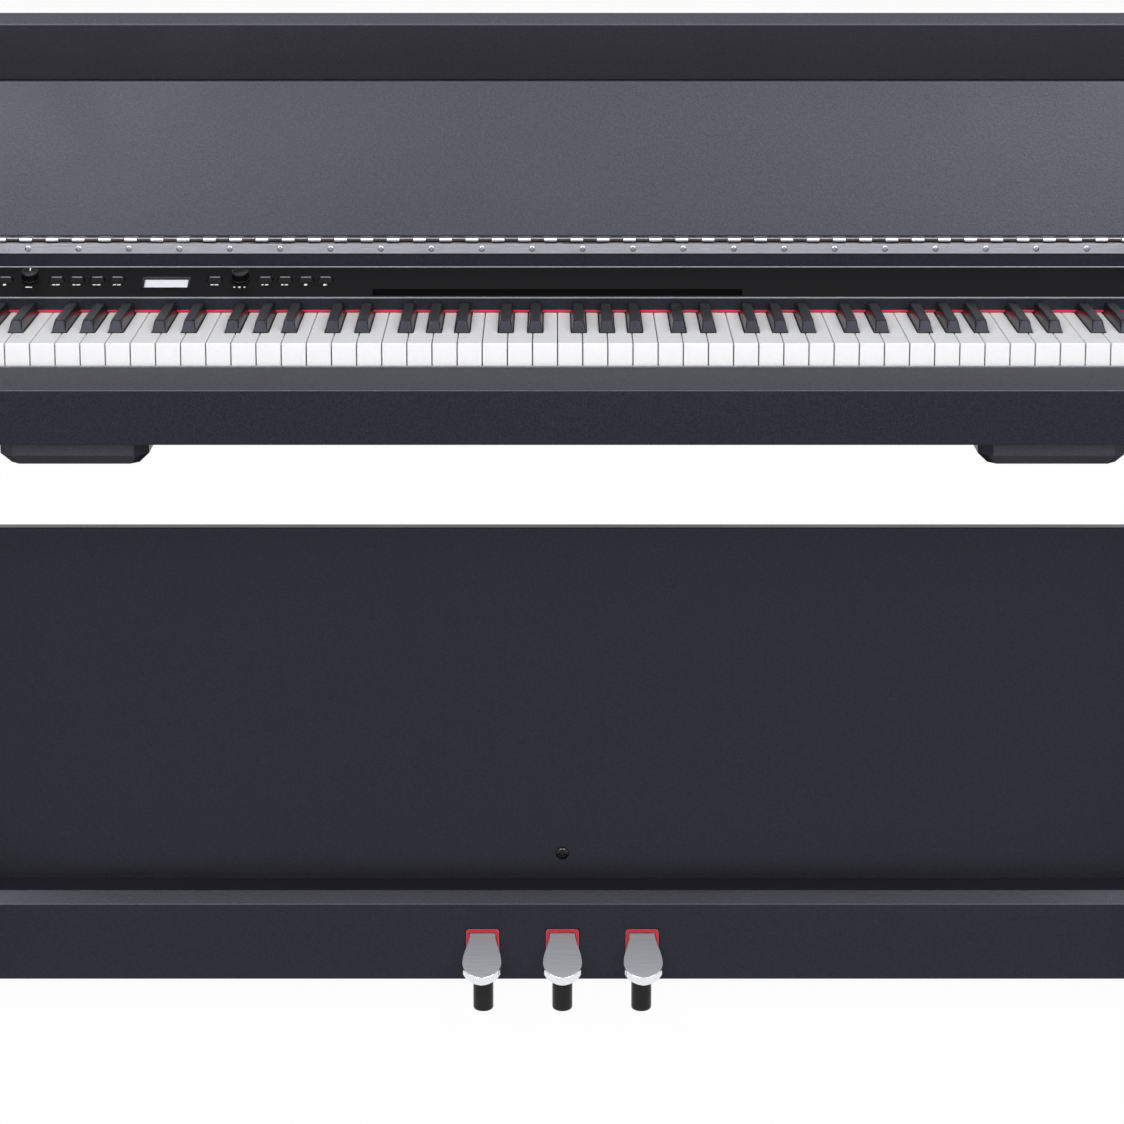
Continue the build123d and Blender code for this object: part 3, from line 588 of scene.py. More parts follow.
FINISHES = {
    # PVC foil pressed on the lid boards, painted lighter than the cabinet's as painted light, and
    # used again on the rail's slope, the pods' fronts and the pedal box's chamfer: a fine pebbled
    # grain that spreads soft highlights
    "painted_light_foil": Finish(
        "vinyl_foil_painted_light", "#1f1f23", "#2c2c32", 0.36, Pattern.PEBBLED, 1.7, 0.12,
        specular=0.5, tint="#eeefff",
    ),
    # The same foil on the flap, which faces down, painted a shade paler as painted light
    "flap_painted_light_foil": Finish(
        "flap_vinyl_foil_painted_light", "#2c2c31", "#38383f", 0.36, Pattern.PEBBLED, 1.7, 0.1,
        specular=0.5, tint="#eeefff",
    ),
    # The same black foil on the cabinet, with less sheen
    "foil": Finish(
        "pebbled_vinyl_foil", "#15151a", "#202026", 0.38, Pattern.PEBBLED, 1.6, 0.1,
        specular=0.22, tint="#e0e3ff",
    ),
    # And on the lower stand
    "stand_foil": Finish(
        "stand_vinyl_foil", "#18181c", "#202025", 0.38, Pattern.PEBBLED, 1.6, 0.08,
        specular=0.3, tint="#e0e3ff",
    ),
    # ABS, spark-eroded mould: dull black with a faint grain
    "panel": Finish(
        "moulded_black_abs", "#0c0c0d", "#111112", 0.55, Pattern.PEBBLED, 0.8, 0.03, specular=0.08
    ),
    # ABS from a polished mould: button caps and knobs catch sharp lights
    "control": Finish("polished_black_abs", "#09090a", "#0c0c0d", 0.2, specular=0.35),
    # Acrylic key tops: white, nearly smooth, with a soft gloss
    "white_key": Finish(
        "white_acrylic", "#dadadb", "#dcdcdd", 0.32, Pattern.PEBBLED, 3.0, 0.003, mottle=0.01
    ),
    # Phenolic-look key caps: black with a satin skin
    "black_key": Finish(
        "satin_black_phenolic", "#0a0a0b", "#0e0e10", 0.3, Pattern.PEBBLED, 1.2, 0.006,
        specular=0.3, tint="#e6e9ff",
    ),
    # Wool felt: dyed crimson fibres with fuzz
    "felt": Finish(
        "crimson_wool_felt", "#b0021f", "#d00634", 0.9, Pattern.FIBRED, 0.7, 0.15, sheen=0.5
    ),
    # Nickel plate on drawn steel: pale bright metal with fine lines
    "nickel": Finish(
        "nickel_plated_steel", "#9d9ea4", "#b0b1b7", 0.24, Pattern.BRUSHED, 0.6, 0.01, metallic=1.0
    ),
    # Satin nickel pedals: brushed lengthways, a little duller
    "pedal": Finish(
        "satin_nickel_pedal", "#b2b4ba", "#bfc1c6", 0.42, Pattern.BRUSHED, 0.8, 0.01, metallic=0.35
    ),
    # Bright chrome on the pedals' rims
    "chrome": Finish("bright_chrome_plate", "#e4e5e8", "#f0f1f3", 0.12, metallic=1.0),
    # Hinge pin painted dark brown as the shade seen in the knuckles' open lower half
    "pin": Finish("dark_pin_painted_shade", "#2a2120", "#352a28", 0.4, metallic=0.5),
    # Galvanised sheet steel inside the cabinet
    "sheet": Finish(
        "galvanised_sheet", "#8a8d90", "#9da0a3", 0.45, Pattern.PEBBLED, 6.0, metallic=1.0
    ),
    # Glass-fibre board under green solder mask
    "circuit": Finish("green_solder_mask", "#0b3d20", "#12522c", 0.3, grain_mm=2.0),
    # Lit liquid-crystal window behind clear acrylic
    "window": Finish("lit_white_window", "#c2c5c8", "#cccfd2", 0.15, glow=0.1, coat=0.5),
    # Natural rubber glides
    "rubber": Finish("black_rubber", "#141414", "#1a1a1a", 0.75, Pattern.PEBBLED, 1.5, 0.04),
    # Pressed-paper cones and black steel baskets
    "driver": Finish("black_paper_cone", "#101010", "#171717", 0.7, Pattern.FIBRED, 1.0, 0.05),
    # Moulded polypropylene feet: dark grey, slightly shiny
    "foot": Finish("black_polypropylene", "#121213", "#171718", 0.3, specular=0.25),
    # Grey satin plastic on thin beads and strips: painted highlights, the lines of light along the
    # rail's and panel's edges and on the buttons' ridges
    "painted_highlight": Finish("grey_painted_highlight", "#6d6e74", "#7b7c83", 0.3, grain_mm=2.0),
    # White screen-printed ink
    "ink": Finish("white_printed_ink", "#c9c9cc", "#d4d4d6", 0.6),
}

Materials = dict[str, bpy.types.Material]

CAD_FINISH = {
    "bottom_board": "foil",
    "floor_glides": "rubber",
    "pedal_pivot_rod": "nickel",
    "pedal_springs": "nickel",
    "pedal_chassis": "sheet",
    "key_pivot_rod": "nickel",
    "key_frame": "sheet",
    "circuit_boards": "circuit",
    "speakers": "driver",
    "display": "window",
}
"""Finish of each CAD node that no piece stands for."""


def dress_frame(materials: Materials) -> None:
    """Give every CAD node that stays in view its finish.

    Args:
        materials: the finishes by name.
    """
    for node_name, finish in CAD_FINISH.items():
        slots = frame["nodes"][node_name].data.materials
        slots.clear()
        slots.append(materials[finish])


def softened_copy(
    node_name: str, width: float, body: str, material: bpy.types.Material, steps: int = 2
) -> bpy.types.Object:
    """Replace a CAD node by a merged copy of it whose edges are rounded.

    Args:
        node_name: the CAD node.
        width: width of the rounding, in millimetres.
        body: the body it moves with.
        material: its finish.
        steps: segments across each rounded edge.

    Returns:
        The copy, with its triangles joined into flat faces before they are bevelled.
    """
    mesh = frame["nodes"][node_name].data.copy()
    work = bmesh.new()
    work.from_mesh(mesh)
    bmesh.ops.remove_doubles(work, verts=work.verts, dist=1e-6)
    bmesh.ops.dissolve_limit(
        work, angle_limit=math.radians(0.5), verts=work.verts, edges=work.edges
    )
    work.to_mesh(mesh)
    work.free()
    mesh.shade_smooth()
    mesh.set_sharp_from_angle(angle=SHARP)
    mesh.materials.clear()
    mesh.materials.append(material)
    piece = add_object(f"{node_name}_finished", mesh)
    bevel = piece.modifiers.new("rounded_edges", "BEVEL")
    bevel.width = width * MM
    bevel.segments = steps
    bevel.limit_method = "ANGLE"
    bevel.angle_limit = math.radians(35.0)
    even_normals(piece)
    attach(piece, body)
    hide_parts(node_name)
    LOG.info("%s: softened by %.1f mm", node_name, width)
    return piece


# ------------------------------------------------------------------ cabinet


@dataclass
class Cabinet:
    """The boards of console and stand, with the rounded edges that foil is wrapped round.

    Attributes:
        half_width: from the middle to the outside of a side panel.
        side: thickness of a side panel.
        board: thickness of the front rail.
        bottom: height of the rail's underside.
        face_top: height where the rail's face meets its slope.
        slope_back: back edge of the slope, as (u, z).
        slope_lip: height of that edge's own face.
        wall_step: how far the rail's back corner lies under face_top.
        edge: rounding of the rail's long edges.
        painted_highlight: reach of the grey bead on the slope's back edge that paints its
            highlight, forwards, backwards, down and up.
        pads_x: felts further out than this are the rubber pads of the lid.
        pads_u: felts further back than this are rubber too.
        boards: edge width and finish of each board that keeps its CAD outline.
    """

    half_width: float = 680.0
    side: float = 20.0
    board: float = 15.0
    bottom: float = 678.0
    face_top: float = 730.0
    slope_back: tuple[float, float] = (30.0, 746.5)
    slope_lip: float = 12.0
    wall_step: float = 4.0
    edge: float = 1.2
    painted_highlight: tuple[float, float, float, float] = (1.2, 0.4, 0.9, 0.9)
    pads_x: float = 625.0
    pads_u: float = 240.0
    boards: dict[str, tuple[float, str]] = field(
        default_factory=lambda: {
            "side_panel_left": (1.6, "foil"),
            "side_panel_right": (1.6, "foil"),
            "cheek_blocks": (1.2, "foil"),
            "top_board": (1.0, "foil"),
            "back_panel": (0.8, "foil"),
            "speaker_pods": (0.8, "foil"),
            "felt_strips": (0.3, "felt"),
            "rear_board": (1.2, "stand_foil"),
            "pedal_box": (1.0, "stand_foil"),
        }
    )

    def front_rail(self, materials: Materials) -> None:
        """Build the front rail: a flat face, a slope that rises to the keys, painted brighter as
        lit, and a bead that paints a highlight.

        Args:
            materials: the finishes by name.
        """
        u, z = self.slope_back
        outline = [
            (0.0, self.bottom),
            (self.board, self.bottom),
            (self.board, self.face_top - self.wall_step),
            (u, z - self.slope_lip),
            (u, z),
            (0.0, self.face_top),
        ]
        inner = self.half_width - self.side
        shape = prism(rounded(outline, self.edge), -inner, inner, SIDEWAYS, 0.4)
        rail = stand_in("front_rail", shape, "cabinet", materials["foil"])
        # The slope wears the lighter copy of the foil: painted light on faces that look up.
        refinish(rail, materials["painted_light_foil"], lambda normal, _: normal[:, 2] > 0.3)
        # A grey bead along the slope's back edge paints its highlight.
        painted_highlight = bead(u, z, self.painted_highlight, (-inner, inner), 0.5)
        make_piece("front_rail_painted_highlight", painted_highlight, "cabinet", materials["painted_highlight"])

    def soften_boards(self, materials: Materials) -> None:
        """Round the edges of the other boards, and give some of their faces a second finish: a
        lighter copy of the foil as painted light, or rubber on the lid's pads.

        Args:
            materials: the finishes by name.
        """
        made = {
            name: softened_copy(name, width, "cabinet", materials[finish])
            for name, (width, finish) in self.boards.items()
        }
        # The lighter copy of the foil paints light on the pods' fronts and the pedal box's chamfer.
        foil = materials["painted_light_foil"]
        refinish(made["speaker_pods"], foil, lambda normal, _: normal[:, 1] < -0.9)
        refinish(
            made["pedal_box"], foil, lambda normal, _: (normal[:, 2] > 0.5) & (normal[:, 1] < -0.3)
        )
        refinish(
            made["felt_strips"],
            materials["rubber"],
            lambda _, centre: (abs(centre[:, 0]) > self.pads_x)
            | (centre[:, 1] > FRONT + self.pads_u),
        )

    def build(self, materials: Materials) -> None:
        """Build and dress the whole cabinet."""
        self.front_rail(materials)
        self.soften_boards(materials)


@dataclass
class Lid:
    """The two lid boards, open: the main panel leans back and the flap leans forward.

    Attributes:
        lean: degrees that the main panel leans back.
        bend: degrees between the panel and the flap.
        panel: the panel's inner face, from the hinge's axis up to the crease.
        flap: the flap's inner face, from the crease up.
        thickness: thickness of both boards.
        start: gap between the hinge's axis and the panel.
        half_width: from the middle to either end.
        groove: width and depth of the groove at the crease.
        edge: rounding of the long edges.
    """

    lean: float = 10.0
    bend: float = 50.0
    panel: float = 158.0
    flap: float = 78.3
    thickness: float = 17.0
    start: float = 3.6
    half_width: float = 678.0
    groove: float = 1.4
    edge: float = 1.6

    def pivot(self) -> tuple[float, float]:
        """Hinge axis as (u, z), from the lid's joint."""
        joint = next(joint for joint in frame["joints"] if joint["child"] == "lid")
        return joint["pos_m"][1] / MM - FRONT, joint["pos_m"][2] / MM

    def on_panel(self, s: float, t: float) -> tuple[float, float]:
        """Find a point of the main panel.

        Args:
            s: distance up the panel from the hinge's axis.
            t: distance from its inner face.

        Returns:
            (u, z): the axis, plus s along the lean, plus t square to it.
        """
        u, z = self.pivot()
        a = math.radians(self.lean)
        return (u + s * math.sin(a) + t * math.cos(a), z + s * math.cos(a) - t * math.sin(a))

    def on_flap(self, s: float, t: float) -> tuple[float, float]:
        """Find a point of the flap.

        Args:
            s: distance up the flap from the crease.
            t: distance from its inner face.

        Returns:
            (u, z): the crease, plus s along the forward lean, plus t square to it.
        """
        u, z = self.on_panel(self.panel, 0.0)
        a = math.radians(self.bend - self.lean)
        return (u - s * math.sin(a) + t * math.cos(a), z + s * math.cos(a) + t * math.sin(a))

    def build(self, materials: Materials) -> None:
        """Build both boards; they meet on a mitre behind a small groove.

        Args:
            materials: the finishes by name.
        """
        slant = math.tan(math.radians(self.bend / 2))
        mitre = self.thickness * slant
        panel = [
            self.on_panel(self.start, self.thickness),
            self.on_panel(self.panel + mitre, self.thickness),
            self.on_panel(self.panel + slant * self.groove, self.groove),
            self.on_panel(self.panel - self.groove, 0.0),
            self.on_panel(self.start, 0.0),
        ]
        flap = [
            self.on_flap(-mitre, self.thickness),
            self.on_flap(self.flap, self.thickness),
            self.on_flap(self.flap, 0.0),
            self.on_flap(self.groove, 0.0),
            self.on_flap(-slant * self.groove, self.groove),
        ]
        # Both boards wear lighter copies of the cabinet's foil as painted light; the flap's copy is
        # paler still.
        boards = (("lid_panel", panel, "painted_light_foil"), ("lid_flap", flap, "flap_painted_light_foil"))
        for name, outline, finish in boards:
            shape = prism(rounded(outline, self.edge), -self.half_width, self.half_width, SIDEWAYS)
            stand_in(name, shape, "lid", materials[finish])


# ------------------------------------------------------------------ keyboard


@dataclass
class Keyboard:
    """Key caps and tails, worked out from the width of one white key.

    Keys are numbered as in MIDI, from 21 (A0) to 108 (C8). Heights of tails and skirts are
    measured down from the white tops.

    Attributes:
        pitch: width of one white key with its gap.
        first_x: left end of the keyboard, half of 52 keys from its middle.
        gap: half the gap between two white keys.
        top: height of the white tops.
        bottom: height of their undersides.
        front: u of the white fronts.
        head_back: u where a white key narrows.
        back: u where the white tops end.
        tail_back: u where the tails end.
        tail_half: half the width of a tail.
        tail_depths: depths of a tail's underside and top.
        tail_lap: how far a tail reaches into its cap.
        notch: width left free for a black key.
        corner: rounding of a white key in plan.
        black_front: u of the black keys' feet.
        black_back: u of their back ends.
        black_base: their width at the white tops.
        black_top: their width on top.
        black_rise: height above the white tops.
        black_skirt: depth of the part between the white keys.
        black_slope: how far the front slope runs back.
        black_roll: radius between slope and top.
        black_blend: length over which the front's corners tighten.
        black_corner: rounding of the front part.
        black_edge: rounding of the long edges.
        octave: first note of the middle octave, and the first after it.
        compass: lowest and highest note.
        whites: semitones of an octave that are white keys.
        names: name of each semitone, as in its key's node.
    """

    pitch: float = 23.5
    first_x: float = -5.5 - 26 * 23.5
    gap: float = 0.45
    top: float = 768.0
    bottom: float = 744.0
    front: float = 33.0
    head_back: float = 82.5
    back: float = 190.0
    tail_back: float = 257.0
    tail_half: float = 5.0
    tail_depths: tuple[float, float] = (21.0, 3.0)
    tail_lap: float = 1.0
    notch: float = 15.2
    corner: float = 1.2
    black_front: float = 83.5
    black_back: float = 182.5
    black_base: float = 13.6
    black_top: float = 9.8
    black_rise: float = 11.0
    black_skirt: float = 17.0
    black_slope: float = 9.0
    black_roll: float = 2.0
    black_blend: float = 3.0
    black_corner: float = 3.4
    black_edge: float = 1.5
    octave: tuple[int, int] = (60, 72)
    compass: tuple[int, int] = (21, 108)
    whites: tuple[int, ...] = (0, 2, 4, 5, 7, 9, 11)
    names: tuple[str, ...] = ("c", "cs", "d", "ds", "e", "f", "fs", "g", "gs", "a", "as", "b")

    def octave_x(self, note: int) -> float:
        """Left edge of the octave that holds a note; A0 and B0 lie before the first whole one."""
        return self.first_x + 2 * self.pitch + 7 * self.pitch * ((note - 24) // 12)

    def tail_x(self, note: int) -> float:
        """Find the centre of a key's tail.

        Args:
            note: the key.

        Returns:
            Its x. Tails share the three white keys C to E, and the four F to B, evenly.
        """
        semitone = note % 12
        if semitone < 5:
            return self.octave_x(note) + (semitone + 0.5) * 3 * self.pitch / 5
        return self.octave_x(note) + 3 * self.pitch + (semitone - 4.5) * 4 * self.pitch / 7

    def is_white(self, note: int) -> bool:
        """Tell white keys from black ones."""
        return note % 12 in self.whites

    def tail(self, note: int, start: float) -> Shape:
        """Make the narrow back end that reaches the pivot rod.

        Args:
            note: the key.
            start: u where the tail leaves the cap.

        Returns:
            A slim box under the level of the white tops.
        """
        x = self.tail_x(note)
        low, high = (self.top - depth for depth in self.tail_depths)
        across = (x - self.tail_half, x + self.tail_half)
        return block(across, (start, self.tail_back), (low, high), PLAN, 0.2, 0.4)

    def white(self, note: int) -> list[Shape]:
        """Make one white key.

        Args:
            note: the key.

        Returns:
            Its plan outline, notched beside black keys, carried upwards; and its tail.
        """
        left = self.octave_x(note) + self.pitch * self.whites.index(note % 12) + self.gap
        right = left + self.pitch - 2 * self.gap
        outline = [(left, self.front), (right, self.front)]
        lowest, highest = self.compass
        if note < highest and not self.is_white(note + 1):
            notch = self.tail_x(note + 1) - self.notch / 2
            outline += [(right, self.head_back), (notch, self.head_back), (notch, self.back)]
        else:
            outline.append((right, self.back))
        if note > lowest and not self.is_white(note - 1):
            notch = self.tail_x(note - 1) + self.notch / 2
            outline += [(notch, self.back), (notch, self.head_back), (left, self.head_back)]
        else:
            outline.append((left, self.back))
        cap = prism(rounded(outline, self.corner), self.bottom, self.top, PLAN, 0.8)
        return [cap, self.tail(note, self.back - self.tail_lap)]

    def black(self, note: int) -> list[Shape]:
        """Make one black key from rounded trapezoids.

        Args:
            note: the key.

        Returns:
            A cap whose rings climb the straight front slope, round a quarter circle to the
            top and run level to the back; and its tail.
        """
        x = self.tail_x(note)
        turn = np.linspace(0.0, math.pi / 2, 7)
        low = self.black_rise - self.black_roll
        front = self.black_front + (self.black_slope - self.black_roll) * np.array([0.0, 0.5, 1.0])
        climb = low * np.array([0.05, 0.5, 1.0])
        roll_u = front[-1] + self.black_roll * (1 - np.cos(turn[1:]))
        roll_z = low + self.black_roll * np.sin(turn[1:])
        level = self.black_front + self.black_slope + self.black_blend
        stations = [*front, *roll_u, level, self.black_back - 1.0, self.black_back]
        rises = [*climb, *roll_z, self.black_rise, self.black_rise, self.black_rise - 1.0]
        half = self.black_base / 2
        rings = []
        for u, rise in zip(stations, rises):
            half_top = half - (self.black_base - self.black_top) / 2 * rise / self.black_rise
            ring = [
                (x - half, self.top - self.black_skirt),
                (x + half, self.top - self.black_skirt),
                (x + half, self.top),
                (x + half_top, self.top + rise),
                (x - half_top, self.top + rise),
                (x - half, self.top),
            ]
            widest = self.black_corner if u < level else self.black_edge
            rings.append(ring_at(rounded(ring, min(widest, 0.35 + 0.3 * rise), 4), u))
        cap = loft(PLAN.place(np.array(rings)[::-1]))
        return [cap, self.tail(note, self.black_back - self.tail_lap)]

    def shapes(self, notes: list[int]) -> Shape:
        """Put all of these keys into one shape."""
        made = [self.white(note) if self.is_white(note) else self.black(note) for note in notes]
        return joined([shape for key in made for shape in key])

    def build(self, materials: Materials) -> None:
        """Build each key of the middle octave, and the groups at either side of it.

        Args:
            materials: the finishes by name.
        """
        start, end = self.octave
        for note in range(start, end):
            name = f"key_{self.names[note % 12]}4"
            finish = "white_key" if self.is_white(note) else "black_key"
            stand_in(name, self.shapes([note]), name, materials[finish])
        lowest, highest = self.compass
        for region, notes in (("low", range(lowest, start)), ("high", range(end, highest + 1))):
            for colour, white in (("white", True), ("black", False)):
                name = f"{colour}_keys_{region}"
                chosen = [note for note in notes if self.is_white(note) is white]
                stand_in(name, self.shapes(chosen), name, materials[f"{colour}_key"])


# ------------------------------------------------------------------ hinge and controls


@dataclass
class PianoHinge:
    """The long hinge: two leaves whose knuckles take turns on one pin.

    Attributes:
        u: the pin's axis behind the console's front.
        z: its height.
        centre_x: middle of the hinge, over the middle of the keyboard.
        knuckle: length of one knuckle.
        pitch: from one knuckle of a leaf to its next.
        count: knuckles on each leaf.
        radius: outside of a knuckle.
        sheet: thickness of the leaves.
        curl: start and end of the lid leaf's curl, in degrees from the back, upwards.
        pin_radius: radius of the pin.
        leaf_z: lower and upper edge of the body's leaf.
        strip: the lid leaf's section on the lid, as (s, t) of Lid.on_panel.
        tab: section of the tabs that join it to its knuckles.
        sides: points round a knuckle or the pin.
    """

    u: float = 241.0
    z: float = 830.5
    centre_x: float = -5.5
    knuckle: float = 12.7
    pitch: float = 26.0
    count: int = 47
    radius: float = 3.3
    sheet: float = 1.0
    curl: tuple[float, float] = (-70.0, 146.0)
    pin_radius: float = 2.2
    leaf_z: tuple[float, float] = (816.8, 826.8)
    strip: tuple[tuple[float, float], ...] = ((2.6, 3.8), (2.6, 14.0), (3.6, 14.0), (3.6, 3.8))
    tab: tuple[tuple[float, float], ...] = ((2.6, 0.0), (2.6, 4.3), (3.6, 4.3), (3.3, 0.0))
    sides: int = 20

    def row(self, section: Array, first_x: float, rim: float, steps: int) -> list[Shape]:
        """Repeat a section along the hinge.

        Args:
            section: its outline as (u, z).
            first_x: where the first one starts.
            rim: rounding of its ends.
            steps: rings in that rounding.

        Returns:
            One prism, a knuckle long, at every pitch.
        """
        starts = first_x + self.pitch * np.arange(self.count)
        return [prism(section, x, x + self.knuckle, SIDEWAYS, rim, steps) for x in starts]

    def curled(self) -> Array:
        """Outline the lid leaf's knuckle.

        Returns:
            An arc with a wall, as (u, z); its open side, low in front, shows the dark pin as
            painted shade.
        """
        angle = np.radians(np.linspace(*self.curl, 16))
        arc = np.column_stack([np.cos(angle), np.sin(angle)])
        wall = np.vstack([arc * self.radius, arc[::-1] * (self.radius - self.sheet)])
        return wall + (self.u, self.z)

    def build(self, materials: Materials) -> None:
        """Build both leaves and the pin.

        Args:
            materials: the finishes by name.
        """
        nickel, axis, half = materials["nickel"], (self.u, self.z), self.pitch / 2
        x0 = self.centre_x - self.count * self.pitch / 2
        x1 = self.centre_x + self.count * self.pitch / 2
        plate = block((self.u, self.u + self.sheet), self.leaf_z, (x0, x1), SIDEWAYS, 0.2, 0.3)
        tubes = self.row(circle(self.radius, self.sides) + axis, x0, 0.5, 2)
        stand_in("body_hinge_leaf", joined([plate, *tubes]), "cabinet", nickel)
        lid = Lid()
        strip, tab = (
            np.array([lid.on_panel(s, t) for s, t in places]) for places in (self.strip, self.tab)
        )
        strip_shape = prism(strip, x0, x1, SIDEWAYS, 0.2, 1)
        tabs = self.row(tab, x0 + half, 0.2, 1)
        curls = self.row(self.curled(), x0 + half, 0.1, 1)
        stand_in("lid_hinge_leaf", joined([strip_shape, *tabs, *curls]), "lid", nickel)
        bar = circle(self.pin_radius, self.sides) + axis
        pin = prism(bar, x0, x1 + half, SIDEWAYS, 0.3, 1)
        stand_in("hinge_pin", pin, "cabinet", materials["pin"])


@dataclass
class Fasteners:
    """Cross-headed screws along the hinge, and the bolt in the stand's rear board.

    Attributes:
        centre_x: middle of the row of screws.
        u: face of the hinge's leaf.
        z: height of the row.
        pitch: from screw to screw.
        count: number of screws.
        radius: radius of a screw's head.
        height: height of a screw's head.
        bolt_place: u and z of the bolt, in the middle of the board.
        bolt_size: radius and height of its head.
        dome: a head's profile, as shares of its radius and height.
        cross: half width and reach of the cross as shares of the radius, and height of its floor.
        sides: points on a ring of the head.
    """

    centre_x: float = -5.5
    u: float = 241.0
    z: float = 821.8
    pitch: float = 50.0
    count: int = 24
    radius: float = 3.0
    height: float = 0.8
    bolt_place: tuple[float, float] = (310.6, 164.0)
    bolt_size: tuple[float, float] = (6.8, 3.0)
    dome: tuple[tuple[float, float], ...] = (
        (1.0, 0.0), (1.0, 0.35), (0.93, 0.55), (0.8, 0.75), (0.66, 0.88),
        (0.6, 0.92), (0.45, 0.96), (0.3, 0.98), (0.16, 1.0), (0.08, 1.0),
    )
    cross: tuple[float, float, float] = (0.17, 0.63, 0.25)
    sides: int = 32

    def head(self, x: float, z: float, u: float, size: tuple[float, float]) -> Shape:
        """Make a domed head with a cross recess.

        Args:
            x: its centre.
            z: height of its centre.
            u: the face that it lies on.
            size: its radius and height.

        Returns:
            Rings on the dome's profile, sunk to a flat floor inside the cross.
        """
        radius, height = size
        share, rise = np.array(self.dome).T
        ring = radius * share[:, None, None] * circle(1.0, self.sides)
        arm, reach, floor = self.cross
        slot = np.abs(ring).min(axis=-1) < arm * radius
        in_cross = slot & (share[:, None] < reach)
        level = np.where(in_cross, floor * height, rise[:, None] * height)
        return loft(moved(facing(u), x, z).place(np.insert(ring, 2, level, axis=2)))

    def build(self, materials: Materials) -> None:
        """Build the row of screws, then the bolt.

        Args:
            materials: the finishes by name.
        """
        places = self.centre_x + (np.arange(self.count) - (self.count - 1) / 2) * self.pitch
        heads = [self.head(x, self.z, self.u, (self.radius, self.height)) for x in places]
        stand_in("screws", joined(heads), "cabinet", materials["nickel"])
        bolt_u, bolt_z = self.bolt_place
        bolt = self.head(0.0, bolt_z, bolt_u, self.bolt_size)
        make_piece("stand_bolt", bolt, "cabinet", materials["control"])


